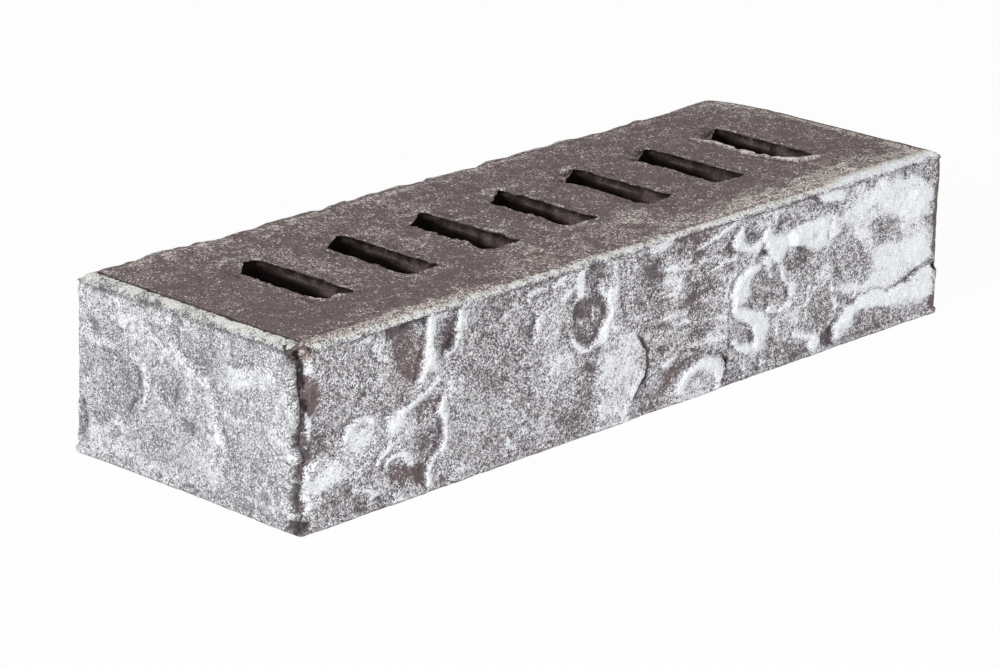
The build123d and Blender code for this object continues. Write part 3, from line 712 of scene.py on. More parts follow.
# What the eye meets on the upper bed: s from its left end, t from its back edge.
BED_MARKS = (
    # sand along the back edge, along the front edge and round the slots
    stroke((0, 7, 0.14), (8, 3, 4), (235, 4, 4)),
    stroke((0, 5, 0.09), (80, 4, 3), (200, 4, 3)),
    stroke((0, 5, 0.14), (96, 4, 3), (125, 4, 3)),
    stroke((0, 1.4, 0.45), (30, 80, 0.6), (62, 79.6, 1.2)),
    stroke((0, 1.6, 0.34), (135, 79.4, 0.6), (170, 78.6, 1.2), (215, 78.2, 1.4)),
    stroke((0, 9, 0.22), (110, 79, 1.5), (160, 77, 4), (240, 76, 7)),
    stroke((0, 1.2, 0.36), (245.4, 6, 1.2), (245.4, 58, 1), (244, 78, 1.6)),
    oval(29, 20, 9, 3, 10, 0, 3, 0.16),
    oval(241, 78, 9, 2.4, -12, 0, 3, 0.2),
    *tones((8, 10, 9, 10, 8, 0.08), (33, 10, 12, 5, 5, 0.1), (46, 24, 4, 18, 4, 0.16),
        (48, 44, 3, 10, 3, 0.12), (64, 62, 9, 2.4, 3, 0.14), (66, 10, 16, 7, 8, 0.14),
        (78, 34, 4, 20, 4, 0.14), (90, 76, 12, 4, 6, 0.16), (92, 68, 12, 8, 8, 0.1),
        (100, 30, 5, 20, 4, 0.06), (103, 16, 14, 7, 8, 0.12), (110, 72, 36, 6, 7, 0.12),
        (127, 63, 5, 3, 3, -0.12), (130, 66, 8, 6, 6, 0.16), (140, 64, 4, 3, 3, 0.2),
        (140, 67, 6, 5, 4, 0.16), (213, 64, 9, 5, 6, 0.1), (241, 14, 7, 12, 8, 0.2)),
    # low places, and what the wire left at the slots and along the front
    oval(16, 58, 9, 16, 0, -0.1, 8, -0.06),
    oval(86, 70, 26, 5, 0, -0.1, 6, -0.05),
    stroke((0.2, 0.8, 0.35), (30, 20.5, 0.4), (37, 20.2, 0.5)),
    stroke((0.25, 1.4, 0.4), (29.2, 57, 0.9), (31, 60, 1.1), (36, 60.6, 0.8)),
    stroke((0.3, 1, 0.4), (99.8, 41, 0.6), (100.2, 52, 0.7)),
    stroke((0.15, 1.4, 0.25), (120, 22.8, 0.8), (130, 22.6, 1)),
    stroke((0.3, 1.4, 0.42), (112.6, 52, 0.9), (114, 60, 1.1), (120, 62.6, 1), (125, 61, 0.7)),
    stroke((0.2, 1, 0.4), (156, 22.6, 0.8), (159.6, 22.4, 0.8)),
    stroke((0.35, 0.9, 0.75), (206.6, 27, 0.7), (207.6, 36, 0.9), (207.8, 50, 1.1), (208.2, 58, 1),
        (211, 62, 1), (219, 62.8, 0.8)),
    oval(215, 66, 5, 3, 0, 0, 3, 0, 0.5),
    stroke((0.2, 1, 0.4), (163, 78.4, 0.3), (178, 76.8, 0.4), (190, 75, 0.4), (208, 73.6, 0.5),
        (223, 72, 0.5)),
    stroke((0.25, 1.4, 0.4), (215, 74.4, 0.8), (222, 72, 0.9)),
    oval(238, 77.6, 12, 1.8, 0, -0.1, 1.6, 0.12),
    oval(246, 45, 2.4, 15, 0, 0.1, 2, 0.2),
)


def raised(plan: Array, z: Array) -> Array:
    """Places, or directions, from those in plan and a third coordinate for each row."""
    return np.concatenate([plan, np.broadcast_to(z, plan.shape[:-1])[..., None]], axis=-1)


@dataclass(frozen=True)
class Ring:
    """A closed loop of a skin's points, counterclockwise from above: their numbers and places."""

    numbers: Array
    places: Array

    def way(self, middle: float, half: tuple[float, float]) -> Array:
        """How far counterclockwise round a rectangle each point lies.

        Args:
            middle: the x of the rectangle's middle; its y is nought.
            half: half its sides.

        Returns:
            0 at the front left corner, 1 at the next, and so on up to 4.
        """
        x = (self.places[..., 0] - middle) / half[0]
        y = self.places[..., 1] / half[1]
        flat = np.abs(y) >= np.abs(x)
        x_safe, y_safe = np.where(x == 0, 1e-9, x), np.where(y == 0, 1e-9, y)
        way = 3.5 + 0.5 * y / x_safe
        way = np.where(~flat & (x > 0), 1.5 + 0.5 * y / x_safe, way)
        way = np.where(flat & (y >= 0), 2.5 - 0.5 * x / y_safe, way)
        way = np.where(flat & (y < 0), 0.5 - 0.5 * x / y_safe, way)
        return way % 4.0


@dataclass
class Shell:
    """One closed skin, gathered stretch by stretch: points in millimetres, their finish, triangles."""

    points: list[Array] = field(default_factory=list)
    finish: list[Array] = field(default_factory=list)
    triangles: list[Array] = field(default_factory=list)
    count: int = 0

    def add(self, points: Array, skin: Skin, bed: Array | float) -> Array:
        """Adds points.

        Args:
            points: places, last axis of 3.
            skin: their finish, one value for each point.
            bed: how far each lies on a wire-cut bed, 0 on a face.

        Returns:
            Their numbers, in the same layout.
        """
        shape = points.shape[:-1]
        numbers = self.count + np.arange(math.prod(shape)).reshape(shape)
        self.points.append(points.reshape(-1, 3))
        columns = (skin.coat, skin.warm, skin.painted_shade, skin.cool, bed)
        self.finish.append(np.stack([np.broadcast_to(v, shape).ravel() for v in columns], axis=1))
        self.count += numbers.size
        return numbers

    def weave(self, numbers: Array, closed: bool = False, keep: Array | None = None) -> None:
        """Joins a grid of points by two triangles a cell, with its rows to the left of its columns' way.

        Args:
            numbers: the grid, rows by columns.
            closed: whether the last column meets the first.
            keep: which cells to fill; all if None.
        """
        ring = np.concatenate([numbers, numbers[:, :1]], axis=1) if closed else numbers
        a, b, c, d = ring[:-1, :-1], ring[:-1, 1:], ring[1:, 1:], ring[1:, :-1]
        cells = np.stack([a, b, c, d], axis=-1)
        cells = cells.reshape(-1, 4) if keep is None else cells[keep]
        self.triangles += [cells[:, [0, 1, 2]], cells[:, [0, 2, 3]]]

    def sew(self, outer: Ring, inner: Ring, middle: float, half: tuple[float, float], flip: bool) -> None:
        """Joins two loops, one round the other, by a strip of triangles.

        Each loop steps on at the middle of each of its gaps; the steps of both are taken in the order of
        how far round they lie, and each makes a triangle with the other loop's current point.

        Args:
            outer: the outer loop.
            inner: the inner loop.
            middle: the x of the middle that both go round.
            half: half the sides of a rectangle along them.
            flip: True where the strip faces down.
        """
        loops = []
        for ring in (outer, inner):
            way = ring.way(middle, half)
            first = int(np.argmin(way))
            numbers, way = np.roll(ring.numbers, -first), np.roll(way, -first)
            step = (way + np.append(way[1:], way[0] + 4.0)) / 2.0
            loops.append((np.append(numbers, numbers[0]), step))
        (a, a_step), (b, b_step) = loops
        is_outer = np.concatenate([np.ones(a_step.size, bool), np.zeros(b_step.size, bool)])
        order = np.argsort(np.concatenate([a_step, b_step]), kind="stable")
        is_outer = is_outer[order]
        i = np.cumsum(is_outer) - is_outer
        j = np.cumsum(~is_outer) - ~is_outer
        third = np.where(is_outer, a[np.minimum(i + 1, a_step.size)], b[np.minimum(j + 1, b_step.size)])
        strip = np.stack([a[i], third, b[j]], axis=1)
        self.triangles.append(strip[:, ::-1] if flip else strip)

    def mesh(self, name: str) -> bpy.types.Mesh:
        """The skin as a smooth Blender mesh in metres, with its finish as attributes.

        Args:
            name: the mesh's name.

        Returns:
            The mesh.
        """
        triangles = np.concatenate(self.triangles)
        used, triangles = np.unique(triangles, return_inverse=True)
        triangles = triangles.reshape(-1, 3)
        points = np.concatenate(self.points)[used] * MM
        finish = np.concatenate(self.finish)[used]
        mesh = bpy.data.meshes.new(name)
        mesh.vertices.add(len(points))
        mesh.vertices.foreach_set("co", points.astype(np.float32).ravel())
        mesh.loops.add(triangles.size)
        mesh.loops.foreach_set("vertex_index", triangles.astype(np.int32).ravel())
        mesh.polygons.add(len(triangles))
        mesh.polygons.foreach_set("loop_start", np.arange(0, triangles.size, 3, dtype=np.int32))
        mesh.polygons.foreach_set("use_smooth", np.ones(len(triangles), dtype=bool))
        for column, label in enumerate(FINISH):
            layer = mesh.attributes.new(label, "FLOAT", "POINT")
            layer.data.foreach_set("value", finish[:, column].astype(np.float32))
        mesh.update(calc_edges=True)
        mesh.validate()
        return mesh


@dataclass
class Outline:
    """Columns round a rectangle with round corners, counterclockwise from its front left corner."""

    half_x: float
    half_y: float
    steps: dict[Side, int]
    corner_steps: int

    def __post_init__(self) -> None:
        """Lays out the columns: each is on a straight side or on the corner after it."""
        side, share, turn = [], [], []
        for number, which in enumerate(Side):
            count = self.steps[which]
            side += [number] * (count + self.corner_steps)
            share += [k / count for k in range(count)] + [1.0] * self.corner_steps
            turn += [0.0] * count + [k / self.corner_steps for k in range(self.corner_steps)]
        self.side = np.array(side)
        self.share = np.array(share)
        first = math.atan2(*reversed(Side.FRONT.value))
        self.angle = first + (self.side + np.array(turn)) * math.pi / 2.0
        self.normal = np.stack([np.cos(self.angle), np.sin(self.angle)], axis=-1)

    def facing(self, side: Side) -> Array:
        """How far each column faces a side's way: 1 if straight, below 0 if away from it."""
        return self.normal @ np.array(side.value)

    def ring(self, inset: Array | float, radius: Array | float) -> Array:
        """The outline drawn in by inset, with corners of that radius.

        Args:
            inset: how far in, one value or one a row.
            radius: corner radius, likewise.

        Returns:
            Points in plan, rows by columns by 2, or columns by 2.
        """
        inset = np.asarray(inset, float)[..., None]
        radius = np.asarray(radius, float)[..., None]
        reach_x, reach_y = self.half_x - inset - radius, self.half_y - inset - radius
        out = np.array([s.value for s in Side])[self.side]
        way = np.array([s.along for s in Side])[self.side]
        along = 2.0 * self.share - 1.0
        x = (out[:, 0] + along * way[:, 0]) * reach_x + radius * self.normal[:, 0]
        y = (out[:, 1] + along * way[:, 1]) * reach_y + radius * self.normal[:, 1]
        return np.stack([x, y], axis=-1)


@dataclass
class Sizes:
    """The brick's dimensions in millimetres, as drawn in CAD.

    The arris rolls in and up by its inset and drop above a lip; below it the worked field is set back
    by its depth, over its step, down to the foot's margin.
    """

    length: float
    width: float
    height: float
    arris_inset: float = 3.8
    arris_drop: float = 1.6
    lip: float = 0.5
    foot_margin: float = 1.5
    foot_radius: float = 0.7
    field_depth: float = 0.5
    field_step: float = 0.4
    corner_radius: float = 1.4
    slot_pitch: float = 30.0
    slot_half_x: float = 6.0
    slot_half_y: float = 18.75
    slot_radius: float = 3.0

    @classmethod
    def of(cls, node: str) -> "Sizes":
        """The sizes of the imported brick, by its node's name."""
        low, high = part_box(node)
        return cls(*(round((b - a) / MM, 2) for a, b in zip(low, high)))

    def span(self, side: Side) -> float:
        """How long a face is."""
        return self.length if side in (Side.FRONT, Side.BACK) else self.width


class Faces:
    """The four upright faces from the foot to the upper arris, as rings of points."""

    # How far apart the points are on the faces that show, and on those turned away.
    PITCH = {Side.FRONT: 0.6, Side.RIGHT: 1.25, Side.BACK: 1.25, Side.LEFT: 0.6}
    # The rolled arris: how far it bows out, and the angles above level that it faces at its ends.
    BOW = 0.35
    ROLL = (30.0, 88.0)
    # Between what depths below the top the arris begins.
    BRINK = (2.3, 1.3)
    # Where the long face's arris grows brighter, and where its bright end begins, from its left end.
    FAR = (120.0, 165.0)
    END = (195.0, 215.0)

    def __init__(self, sizes: Sizes) -> None:
        """Lays out the rows and columns.

        Args:
            sizes: the brick's dimensions.
        """
        self.sizes = sizes
        corners = 2.0 * sizes.corner_radius
        steps = {side: round((sizes.span(side) - corners) / self.PITCH[side]) for side in Side}
        self.outline = Outline(sizes.length / 2.0, sizes.width / 2.0, steps, 6)
        self.inset, self.z, self.slope = self._profile()
        self.marks = {
            Side.FRONT: FRONT_MARKS,
            Side.RIGHT: RIGHT_MARKS + strewn_marks(sizes.width, sizes.height, 73),
            Side.BACK: BACK_MARKS + strewn_marks(sizes.length, sizes.height, 41),
            Side.LEFT: LEFT_MARKS,
        }

    def _profile(self) -> tuple[Array, Array, Array]:
        """The section of a face from the lower bed up.

        Returns:
            How far in each row is, how high, and the angle above level that it faces.
        """
        m = self.sizes
        rows = []
        for a in np.linspace(-90.0, 0.0, 4):
            r = math.radians(a)
            inset, z = m.foot_radius * (1.0 - math.cos(r)), m.foot_radius * (1.0 + math.sin(r))
            rows.append((inset, z, a * 0.8))
        rows.append((0.0, m.foot_margin, 0.0))
        low = m.foot_margin + m.field_step
        top = m.height - m.arris_drop
        high = top - m.lip - m.field_step
        for z in np.linspace(low, high, round((high - low) / self.PITCH[Side.FRONT])):
            rows.append((m.field_depth, z, 0.0))
        rows += [(0.0, top - m.lip, 8.0), (0.0, top, 20.0)]
        chord = math.hypot(m.arris_inset, m.arris_drop)
        for k in np.linspace(0.0, 1.0, 8)[1:]:
            bow = self.BOW * math.sin(math.pi * k) / chord
            inset, rise = k * m.arris_inset - bow * m.arris_drop, k * m.arris_drop + bow * m.arris_inset
            rows.append((inset, top + rise, self.ROLL[0] + k * (self.ROLL[1] - self.ROLL[0])))
        inset, z, slope = (np.array(v) for v in zip(*rows))
        return inset, z, np.radians(slope)

    def _marked(self, side: Side, s: Array, t: Array, vary: Array) -> Skin:
        """The relief and finish of one face, from the marks on it.

        Args:
            side: which face.
            s: place along it from its left end.
            t: place below its top.
            vary: how strongly the marks show.

        Returns:
            Its skin.
        """
        skin = Skin.bare(s.shape, 0.53 if side is Side.LEFT else 0.5)
        skin.press(self.marks[side], s, t, vary)
        skin.cool += float(side in (Side.LEFT, Side.RIGHT))
        return skin

    def skin(self, base: Array) -> Skin:
        """The relief and finish of all four faces, each weighted by how far a column faces its way.

        The base relief is 0.28 mm of noise at 16 mm, 0.16 at 5 mm and 0.13 at 1.7 mm; the marks are
        read at places shifted by up to 0.75 mm of noise, so that their edges wander.

        Args:
            base: places, rows by columns by 3.

        Returns:
            Their skin.
        """
        m = self.sizes
        noise = partial(Noise.layered, base)
        rough = 0.28 * noise(16.0, 2, 11) + 0.16 * noise(5.0, 2, 23) + 0.13 * noise(1.7, 1, 37)
        vary = 1.0 + 0.55 * noise(2.4, 2, 43)
        stir = np.stack([noise(2.6, 2, seed) for seed in (51, 67)], axis=-1) * 0.75
        skin = Skin.bare(base.shape[:-1])
        skin.lift += rough
        for side in Side:
            share = np.clip(self.outline.facing(side), 0.0, 1.0) ** 2
            columns = share > 0.002
            place = base[:, columns]
            s = place[..., :2] @ np.array(side.along) + m.span(side) / 2.0 + stir[:, columns, 0]
            t = m.height - place[..., 2] + stir[:, columns, 1]
            part = self._marked(side, s, t, vary[:, columns])
            if side is Side.FRONT:
                # The middle right is brushed: noise drawn out four times along the face.
                here = ease(1.0, -4.0, Oval(141, 22, 19, 20).distance(s, t))
                brushed = Noise.layered(place * np.array([0.25, 1.0, 1.0]), 1.7, 2, 83)
                part.add(here * brushed, lift=0.12, coat=0.42)
            for name in ("lift", "coat", "warm", "painted_shade", "cool"):
                getattr(skin, name)[:, columns] += getattr(part, name) * share[columns]
        skin.coat += 0.1 * noise(6.0, 3, 91) + 0.25 * rough
        # Scalloped edges: along the zero line of a noise, a step that dies away on its upper side.
        gate = np.clip(0.45 + 1.2 * noise(9.0, 1, 95), 0.0, 1.0)
        for size, seed in ((12.0, 97), (7.0, 103)):
            height = noise(size, 4, seed, 0.38)
            step = gate * ease(-0.02, 0.015, height)
            above = np.clip(height, 0.0, None)
            skin.add(step * np.exp(-above / 0.4), lift=0.34)
            skin.add(step * np.exp(-above / 0.1), coat=0.3)
            skin.add(gate * ease(-0.14, -0.02, height) * ease(0.01, -0.02, height), coat=-0.14)
        return skin

    def _pulled(self, plan: Array) -> Array:
        """The outline with its back left and front right corners drawn out slantwise.

        A corner moves out by (out * top + flare * down) mm * exp(-d / 14), with d the distance from it,
        down the share of the way down, and top fading over the topmost 5 mm.

        Args:
            plan: places in plan, rows by columns by 2.

        Returns:
            The places moved.
        """
        m = self.sizes
        down = 1.0 - self.z[:, None, None] / m.height
        top = ease(1.5, 5.0, m.height - self.z)[:, None, None]
        for way, out, flare in (((-1.0, 1.0), 0.35, 1.35), ((1.0, -1.0), 0.5, 0.35)):
            away = np.array(way)
            corner = away * np.array([m.length, m.width]) / 2.0
            gap = np.linalg.norm(plan - corner, axis=-1, keepdims=True)
            plan = plan + away / math.sqrt(2.0) * (out * top + flare * down) * np.exp(-gap / 14.0)
        return plan

    def _bite(self, base: Array, skin: Skin) -> None:
        """Breaks the near corner: each bite keeps its depth half-way to its edge, then fades, and its bare
        patch is darkened with painted shade.

        Args:
            base: the faces' places.
            skin: what is broken.
        """
        m = self.sizes
        stir = 0.6 * Noise.layered(base, 2.2, 2, 131)
        left, front = base[..., 1] + m.width / 2.0, base[..., 0] + m.length / 2.0
        t = m.height - base[..., 2] + stir
        ragged = 0.7 * Noise.layered(base, 1.2, 2, 137)
        gone = np.zeros(t.shape)
        patch = np.zeros(t.shape)
        for bite in NEAR_BITES:
            down = (t - bite.t) / bite.half
            across = left - front + 0.7 * stir - bite.middle - bite.lean * down
            r = np.hypot(across / bite.reach, down)
            gone = np.maximum(gone, bite.depth * ease(1.1, 0.5, r))
            patch = np.maximum(patch, bite.painted_shade * ease(1.2, 0.8, r + ragged))
        near = ease(30.0, 10.0, left + front)
        bare = ease(0.0, 0.16, patch) * near
        skin.add(gone * near, lift=-1.0)
        skin.add(ease(0.15, 0.9, gone) * near, coat=-0.3)
        skin.add(bare, coat=-0.45, warm=0.3)
        # The bare patches are darkened with painted shade.
        skin.add(patch * near, painted_shade=1.0)
        skin.cool *= 1.0 - 0.8 * bare

    def _arris(self, base: Array, skin: Skin) -> Array:
        """Sands the rolled upper arris up to a ragged line, with the bare bed behind it, and paints shade
        in the gutter and under the roll.

        Args:
            base: the places.
            skin: what is finished.

        Returns:
            How far each point lies on the bare bed, 0 to 1.
        """
        m = self.sizes
        noise = partial(Noise.layered, base)
        t = m.height - base[..., 2]
        along = base[..., 0] + m.length / 2.0
        sides = (Side.FRONT, Side.LEFT, Side.BACK)
        front, left, back = (ease(0.3, 0.9, self.outline.facing(side)) for side in sides)
        far = front * ease(*self.FAR, along)
        end = front * ease(*self.END, along)
        # The roll is smooth and thickly sanded, most on the short face and towards the long one's end.
        arris = ease(*self.BRINK, t)
        skin.lift *= 1.0 - 0.7 * arris
        skin.lift += arris * back_crumble(base, m)
        spotted = (0.26 + 0.2 * left) * noise(2.2, 2, 53)
        sanded = 0.72 + 0.18 * left + 0.18 * far + 0.15 * end - 0.3 * back + spotted
        skin.coat += 0.9 * arris * (sanded - skin.coat)
        skin.cool *= 1.0 - 0.6 * arris
        # The near corner's top is worn down to the clay, with dark spots painted round it.
        near = np.hypot(along, base[..., 1] + m.width / 2.0)
        worn = ease(6.4, 3.4, near + 3.0 * noise(2.0, 2, 59)) * ease(4.4, 2.6, t)
        spots = ease(0.05, 0.4, noise(1.5, 2, 63))
        skin.add(ease(8.0, 5.0, near) * ease(6.0, 4.0, t) * spots, painted_shade=0.5)
        # The bare bed begins far in on the short face; a grainy band lies before it on the long one.
        inset = self.inset[:, None] + 0.45 * noise(3.6, 2, 57) + 0.35 * noise(1.1, 1, 58)
        past = np.clip((inset - 1.8 + 1.2 * front - 0.6 * left - 1.6 * end) / 2.0, 0.0, 1.0)
        bed = np.maximum(past, 0.1 * (1.0 - end) * ease(0.1, 0.7, inset)) * arris
        bed = np.maximum(bed, worn)
        grainy = front * (0.12 + 0.3 * ease(85.0, 45.0, along) + 0.42 * ease(110.0, 170.0, along))
        skin.coat += ease(0.45, 0.8, bed) * (0.12 + grainy - skin.coat)
        # A gutter with less sand and painted shade parts the long face's two bands, and a painted shadow
        # lies under the roll.
        gutter = (front - end) * ease(110.0, 150.0, along)
        gutter *= np.exp(-np.square((self.inset[:, None] - 2.1) / 0.4))
        skin.add(gutter, coat=-0.35, painted_shade=0.15)
        shade = np.exp(-np.square((t - 1.9 + 0.1 * left + 0.2 * end) / (0.5 + 0.5 * left)))
        shade *= 0.6 + 0.4 * left + 0.5 * far + 0.8 * noise(5.0, 2, 61)
        skin.add(shade, coat=-0.36)
        skin.add(np.clip(shade, 0.0, None), painted_shade=0.2)
        return bed

    def _foot(self, base: Array, skin: Skin) -> None:
        """Makes the foot a plain pale margin below the field's lower step, with less sand and a painted
        contact shadow where it meets the ground.

        Args:
            base: the faces' places.
            skin: what is finished.
        """
        z = base[..., 2]
        skin.lift *= 1.0 - 0.55 * ease(1.9, 0.6, z)
        skin.add(ease(0.55, 0.15, z), coat=-0.35, painted_shade=0.32)
        step = self.sizes.foot_margin + 0.5
        skin.add(np.exp(-np.square((z - step) / 0.45)), lift=-0.12, coat=-0.16)

    def build(self, shell: Shell) -> tuple[Ring, Ring]:
        """Adds the faces.

        Args:
            shell: what they join.

        Returns:
            The lowest row, at the lower bed, and the highest, at the upper bed.
        """
        radius = np.clip(self.sizes.corner_radius - 0.6 * self.inset, 0.4, None)
        base = raised(self._pulled(self.outline.ring(self.inset, radius)), self.z[:, None])
        skin = self.skin(base)
        self._bite(base, skin)
        bed = self._arris(base, skin)
        self._foot(base, skin)
        level = self.outline.normal * np.cos(self.slope)[:, None, None]
        points = base + raised(level, np.sin(self.slope)[:, None]) * skin.lift[..., None]
        points[0, :, 2] = 0.0
        points[..., 2] = np.clip(points[..., 2], 0.0, None)
        points = slumped(points, self.sizes)
        numbers = shell.add(points, skin, bed)
        shell.weave(numbers, closed=True)
        return Ring(numbers[0], points[0]), Ring(numbers[-1], points[-1])


def slumped(points: Array, sizes: Sizes) -> Array:
    """The points with the back right corner's upper part slumped inwards, as handled before firing.

    x moves in by 9 mm * exp(-d / 7) and z up by a twelfth of that, with d the distance from the back,
    fading over 30 mm from the right end and over 20 mm from the top.

    Args:
        points: places, last axis of 3.
        sizes: the brick's dimensions.

    Returns:
        The places moved.
    """
    end, back = sizes.length / 2.0, sizes.width / 2.0
    pull = 9.0 * np.exp(-np.clip(back - points[..., 1], 0.0, None) / 7.0)
    pull *= ease(end - 30.0, end - 2.0, points[..., 0])
    top = ease(sizes.height - 20.0, sizes.height - 1.0, points[..., 2])
    out = points.copy()
    out[..., 0] -= pull * (0.2 + 0.8 * top)
    out[..., 2] += pull * top / 12.0
    return out


def back_crumble(base: Array, sizes: Sizes) -> Array:
    """The lumps of the torn back edge: 0.6 mm of noise at 6 mm and 0.45 at 2.8 mm, fading in 8 mm."""
    end, back = sizes.length / 2.0, sizes.width / 2.0
    lumps = 0.6 * Noise.layered(base, 6.0, 1, 401) + 0.45 * Noise.layered(base, 2.8, 1, 409)
    near = ease(8.0, 1.0, back - base[..., 1])
    return near * (lumps - 0.1) * ease(end - 15.0, end - 60.0, base[..., 0])


class SlotWall:
    """One through slot: its ragged upper mouth, its wall and its lower mouth, as rings of points."""

    # How far the collar on the bed reaches out from the slot.
    MARGIN = 1.6
    # How far the burr fills its corner at each ring from the collar's edge down; nought further down.
    FILL = (0.0, 0.35, 0.7, 0.95, 1.0, 1.0, 0.75, 0.3)
    # How far the mouth's edge is torn at the collar's rings, and how far a gape opens there.
    TORN = (0.0, 0.3, 0.6, 0.95)
    OPEN = (0.0, 0.5, 1.0, 0.4)
    # How deep the painted shadow on the wall begins at its front end, and how much higher for each
    # millimetre back.
    DARK = 5.8
    DARK_RISE = 0.1

    def __init__(self, sizes: Sizes, x: float, mouth: SlotMouth) -> None:
        """Lays out one slot.

        Args:
            sizes: the brick's dimensions.
            x: where the slot's middle is.
            mouth: how its upper mouth departs from the outline.
        """
        self.sizes = sizes
        self.x = x
        self.mouth = mouth
        steps = {Side.FRONT: 9, Side.RIGHT: 50, Side.BACK: 8, Side.LEFT: 50}
        self.outline = Outline(sizes.slot_half_x, sizes.slot_half_y, steps, 5)
        collar = [(-k * self.MARGIN, 0.0) for k in (1.0, 0.65, 0.35, 0.1)]
        lip = [(0.0, 0.1), (-0.05, 0.55), (0.1, 1.2)]
        shaft = [(0.0, d) for d in (2.4, 4.0, 5.6, 7.6, 20.0, sizes.height - 0.6)]
        foot = [(-0.6, sizes.height), (-self.MARGIN, sizes.height)]
        self.inset, self.down = np.array(collar + lip + shaft + foot).T

    @property
    def reach(self) -> tuple[float, float]:
        """Half the sides of the rectangle that the beds leave open round the slot."""
        return self.sizes.slot_half_x + self.MARGIN, self.sizes.slot_half_y + self.MARGIN

    def _burr(self, plan: Array, share: float) -> tuple[Array, Array]:
        """The outline with its back left corner filled by the dragged burr, up to a slanting line.

        A point's depth behind the line through (drag_x, 0) and (0, drag_y) from the corner is
        1 - dx / drag_x - dy / drag_y; it moves out across the line by share of that. The front right
        corner is drawn out to a point.

        Args:
            plan: one ring of the outline.
            share: how far the burr fills the corner at this ring.

        Returns:
            The ring, and how far behind the line each of its points was.
        """
        m = self.sizes
        drag = np.array([self.mouth.drag_x, self.mouth.drag_y])
        dx = plan[..., 0] + m.slot_half_x
        dy = m.slot_half_y + self.mouth.shift - plan[..., 1]
        behind = np.clip(1.0 - dx / drag[0] - dy / drag[1], 0.0, None)
        away = np.array([1.0 / drag[0], -1.0 / drag[1]])
        tip = np.array([m.slot_half_x, -m.slot_half_y])
        drawn = share * np.exp(-np.square(np.linalg.norm(plan - tip, axis=-1) / 2.6))
        moved = plan + (share * behind / (away @ away))[..., None] * away
        moved += drawn[..., None] * (0.55 * (tip - plan) + np.array([0.45, -0.2]))
        return moved, behind

    @staticmethod
    def _drawn(base: Array, draw: float, size: float, layers: int, seed: int) -> Array:
        """Noise on the wall, drawn out up and down: its heights are read at that share of theirs."""
        return Noise.layered(base * np.array([1.0, 1.0, draw]), size, layers, seed)

    def _wall_shade(self, base: Array, behind: Array) -> Array:
        """How much painted shade the wall has: from 5.8 mm down, sooner to the back, under the burr from
        its top, and in a crevice under the lip.

        Args:
            base: places on the wall.
            behind: how far behind the burr's line each is.

        Returns:
            The soil on each.
        """
        down = self.down[:, None]
        back = ease(0.3, 0.8, self.outline.facing(Side.BACK))
        end = np.clip(back + ease(0.0, 0.15, behind), 0.0, 1.0)
        # Painted shade in a thin crevice just under the lip.
        crevice = 0.5 * np.exp(-np.square((down - 0.7) / 0.5))
        crevice = crevice * (1.0 + Noise.layered(base, 1.8, 2, 233))
        limit = self.DARK - self.DARK_RISE * (base[..., 1] + self.sizes.slot_half_y)
        deep = 0.36 + 0.2 * self._drawn(base, 0.6, 3.0, 2, 239) + 0.9 * ease(-0.9, 0.7, down - limit)
        return np.maximum(deep, end) + crevice

    def build(self, shell: Shell, bed: "Bed") -> tuple[Ring, Ring]:
        """Adds the slot.

        Args:
            shell: what it joins.
            bed: the upper bed, for the relief round the mouth.

        Returns:
            The outermost ring on the upper bed, and on the lower.
        """
        m = self.sizes
        top = m.height
        collar = len(self.TORN)
        below = (0.0,) * (self.down.size - len(self.FILL))
        rings = [self._burr(self.outline.ring(inset, m.slot_radius), share)
                 for inset, share in zip(self.inset, self.FILL + below)]
        plan, behind = (np.stack(part) for part in zip(*rings))
        down = self.down[:, None]
        base = raised(plan + np.array([self.x, 0.0]), top - down)
        torn = np.exp(-np.square((down - 0.3) / 1.1))
        torn[:collar, 0] *= self.TORN
        tear = self._drawn(base, 0.4, 3.2, 2, 211) + self._drawn(base, 0.4, 1.3, 1, 217)
        out = self.outline.normal
        base[..., :2] += out * (self.mouth.crumb * 0.6 * tear * torn)[..., None]
        wall = ease(1.5, 3.0, down) * ease(top, top - 3.0, down)
        base[..., :2] += out * (0.16 * self._drawn(base, 0.25, 1.6, 2, 223) * wall)[..., None]
        skin = bed.skin(base)
        upper = ease(0.5, 0.08, down)
        lower = (down >= top - 0.01).astype(float)
        # Behind a burr with a gape, a crescent of the old corner is left open, sunk and darkened with
        # painted shade.
        gape = np.zeros(down.shape)
        gape[:collar, 0] = self.OPEN
        crescent = self.mouth.gape * gape * np.clip(5.0 * behind * (1.1 - behind), 0.0, 1.0)
        skin.lift += 0.21 * torn * np.abs(tear) - 1.3 * crescent
        skin.lift *= upper
        base[..., 2] += skin.lift
        base[-2:, :, 2] = 0.0
        skin.coat += torn * (0.06 + 0.4 * Noise.layered(base, 3.0, 2, 229))
        skin.coat = skin.coat * upper - 0.4 * (1.0 - upper) * (1.0 - lower) + 0.2 * lower
        skin.warm += 0.4 * (1.0 - upper)
        dark = self._wall_shade(base, behind)
        # Below the lip the wall takes its painted shade, the lower mouth none, and the open crescent more.
        skin.painted_shade = skin.painted_shade * upper + dark * (1.0 - upper) * (1.0 - lower) + 0.7 * crescent
        numbers = shell.add(base, skin, 1.0)
        shell.weave(numbers, closed=True)
        return Ring(numbers[0], base[0]), Ring(numbers[-1], base[-1])


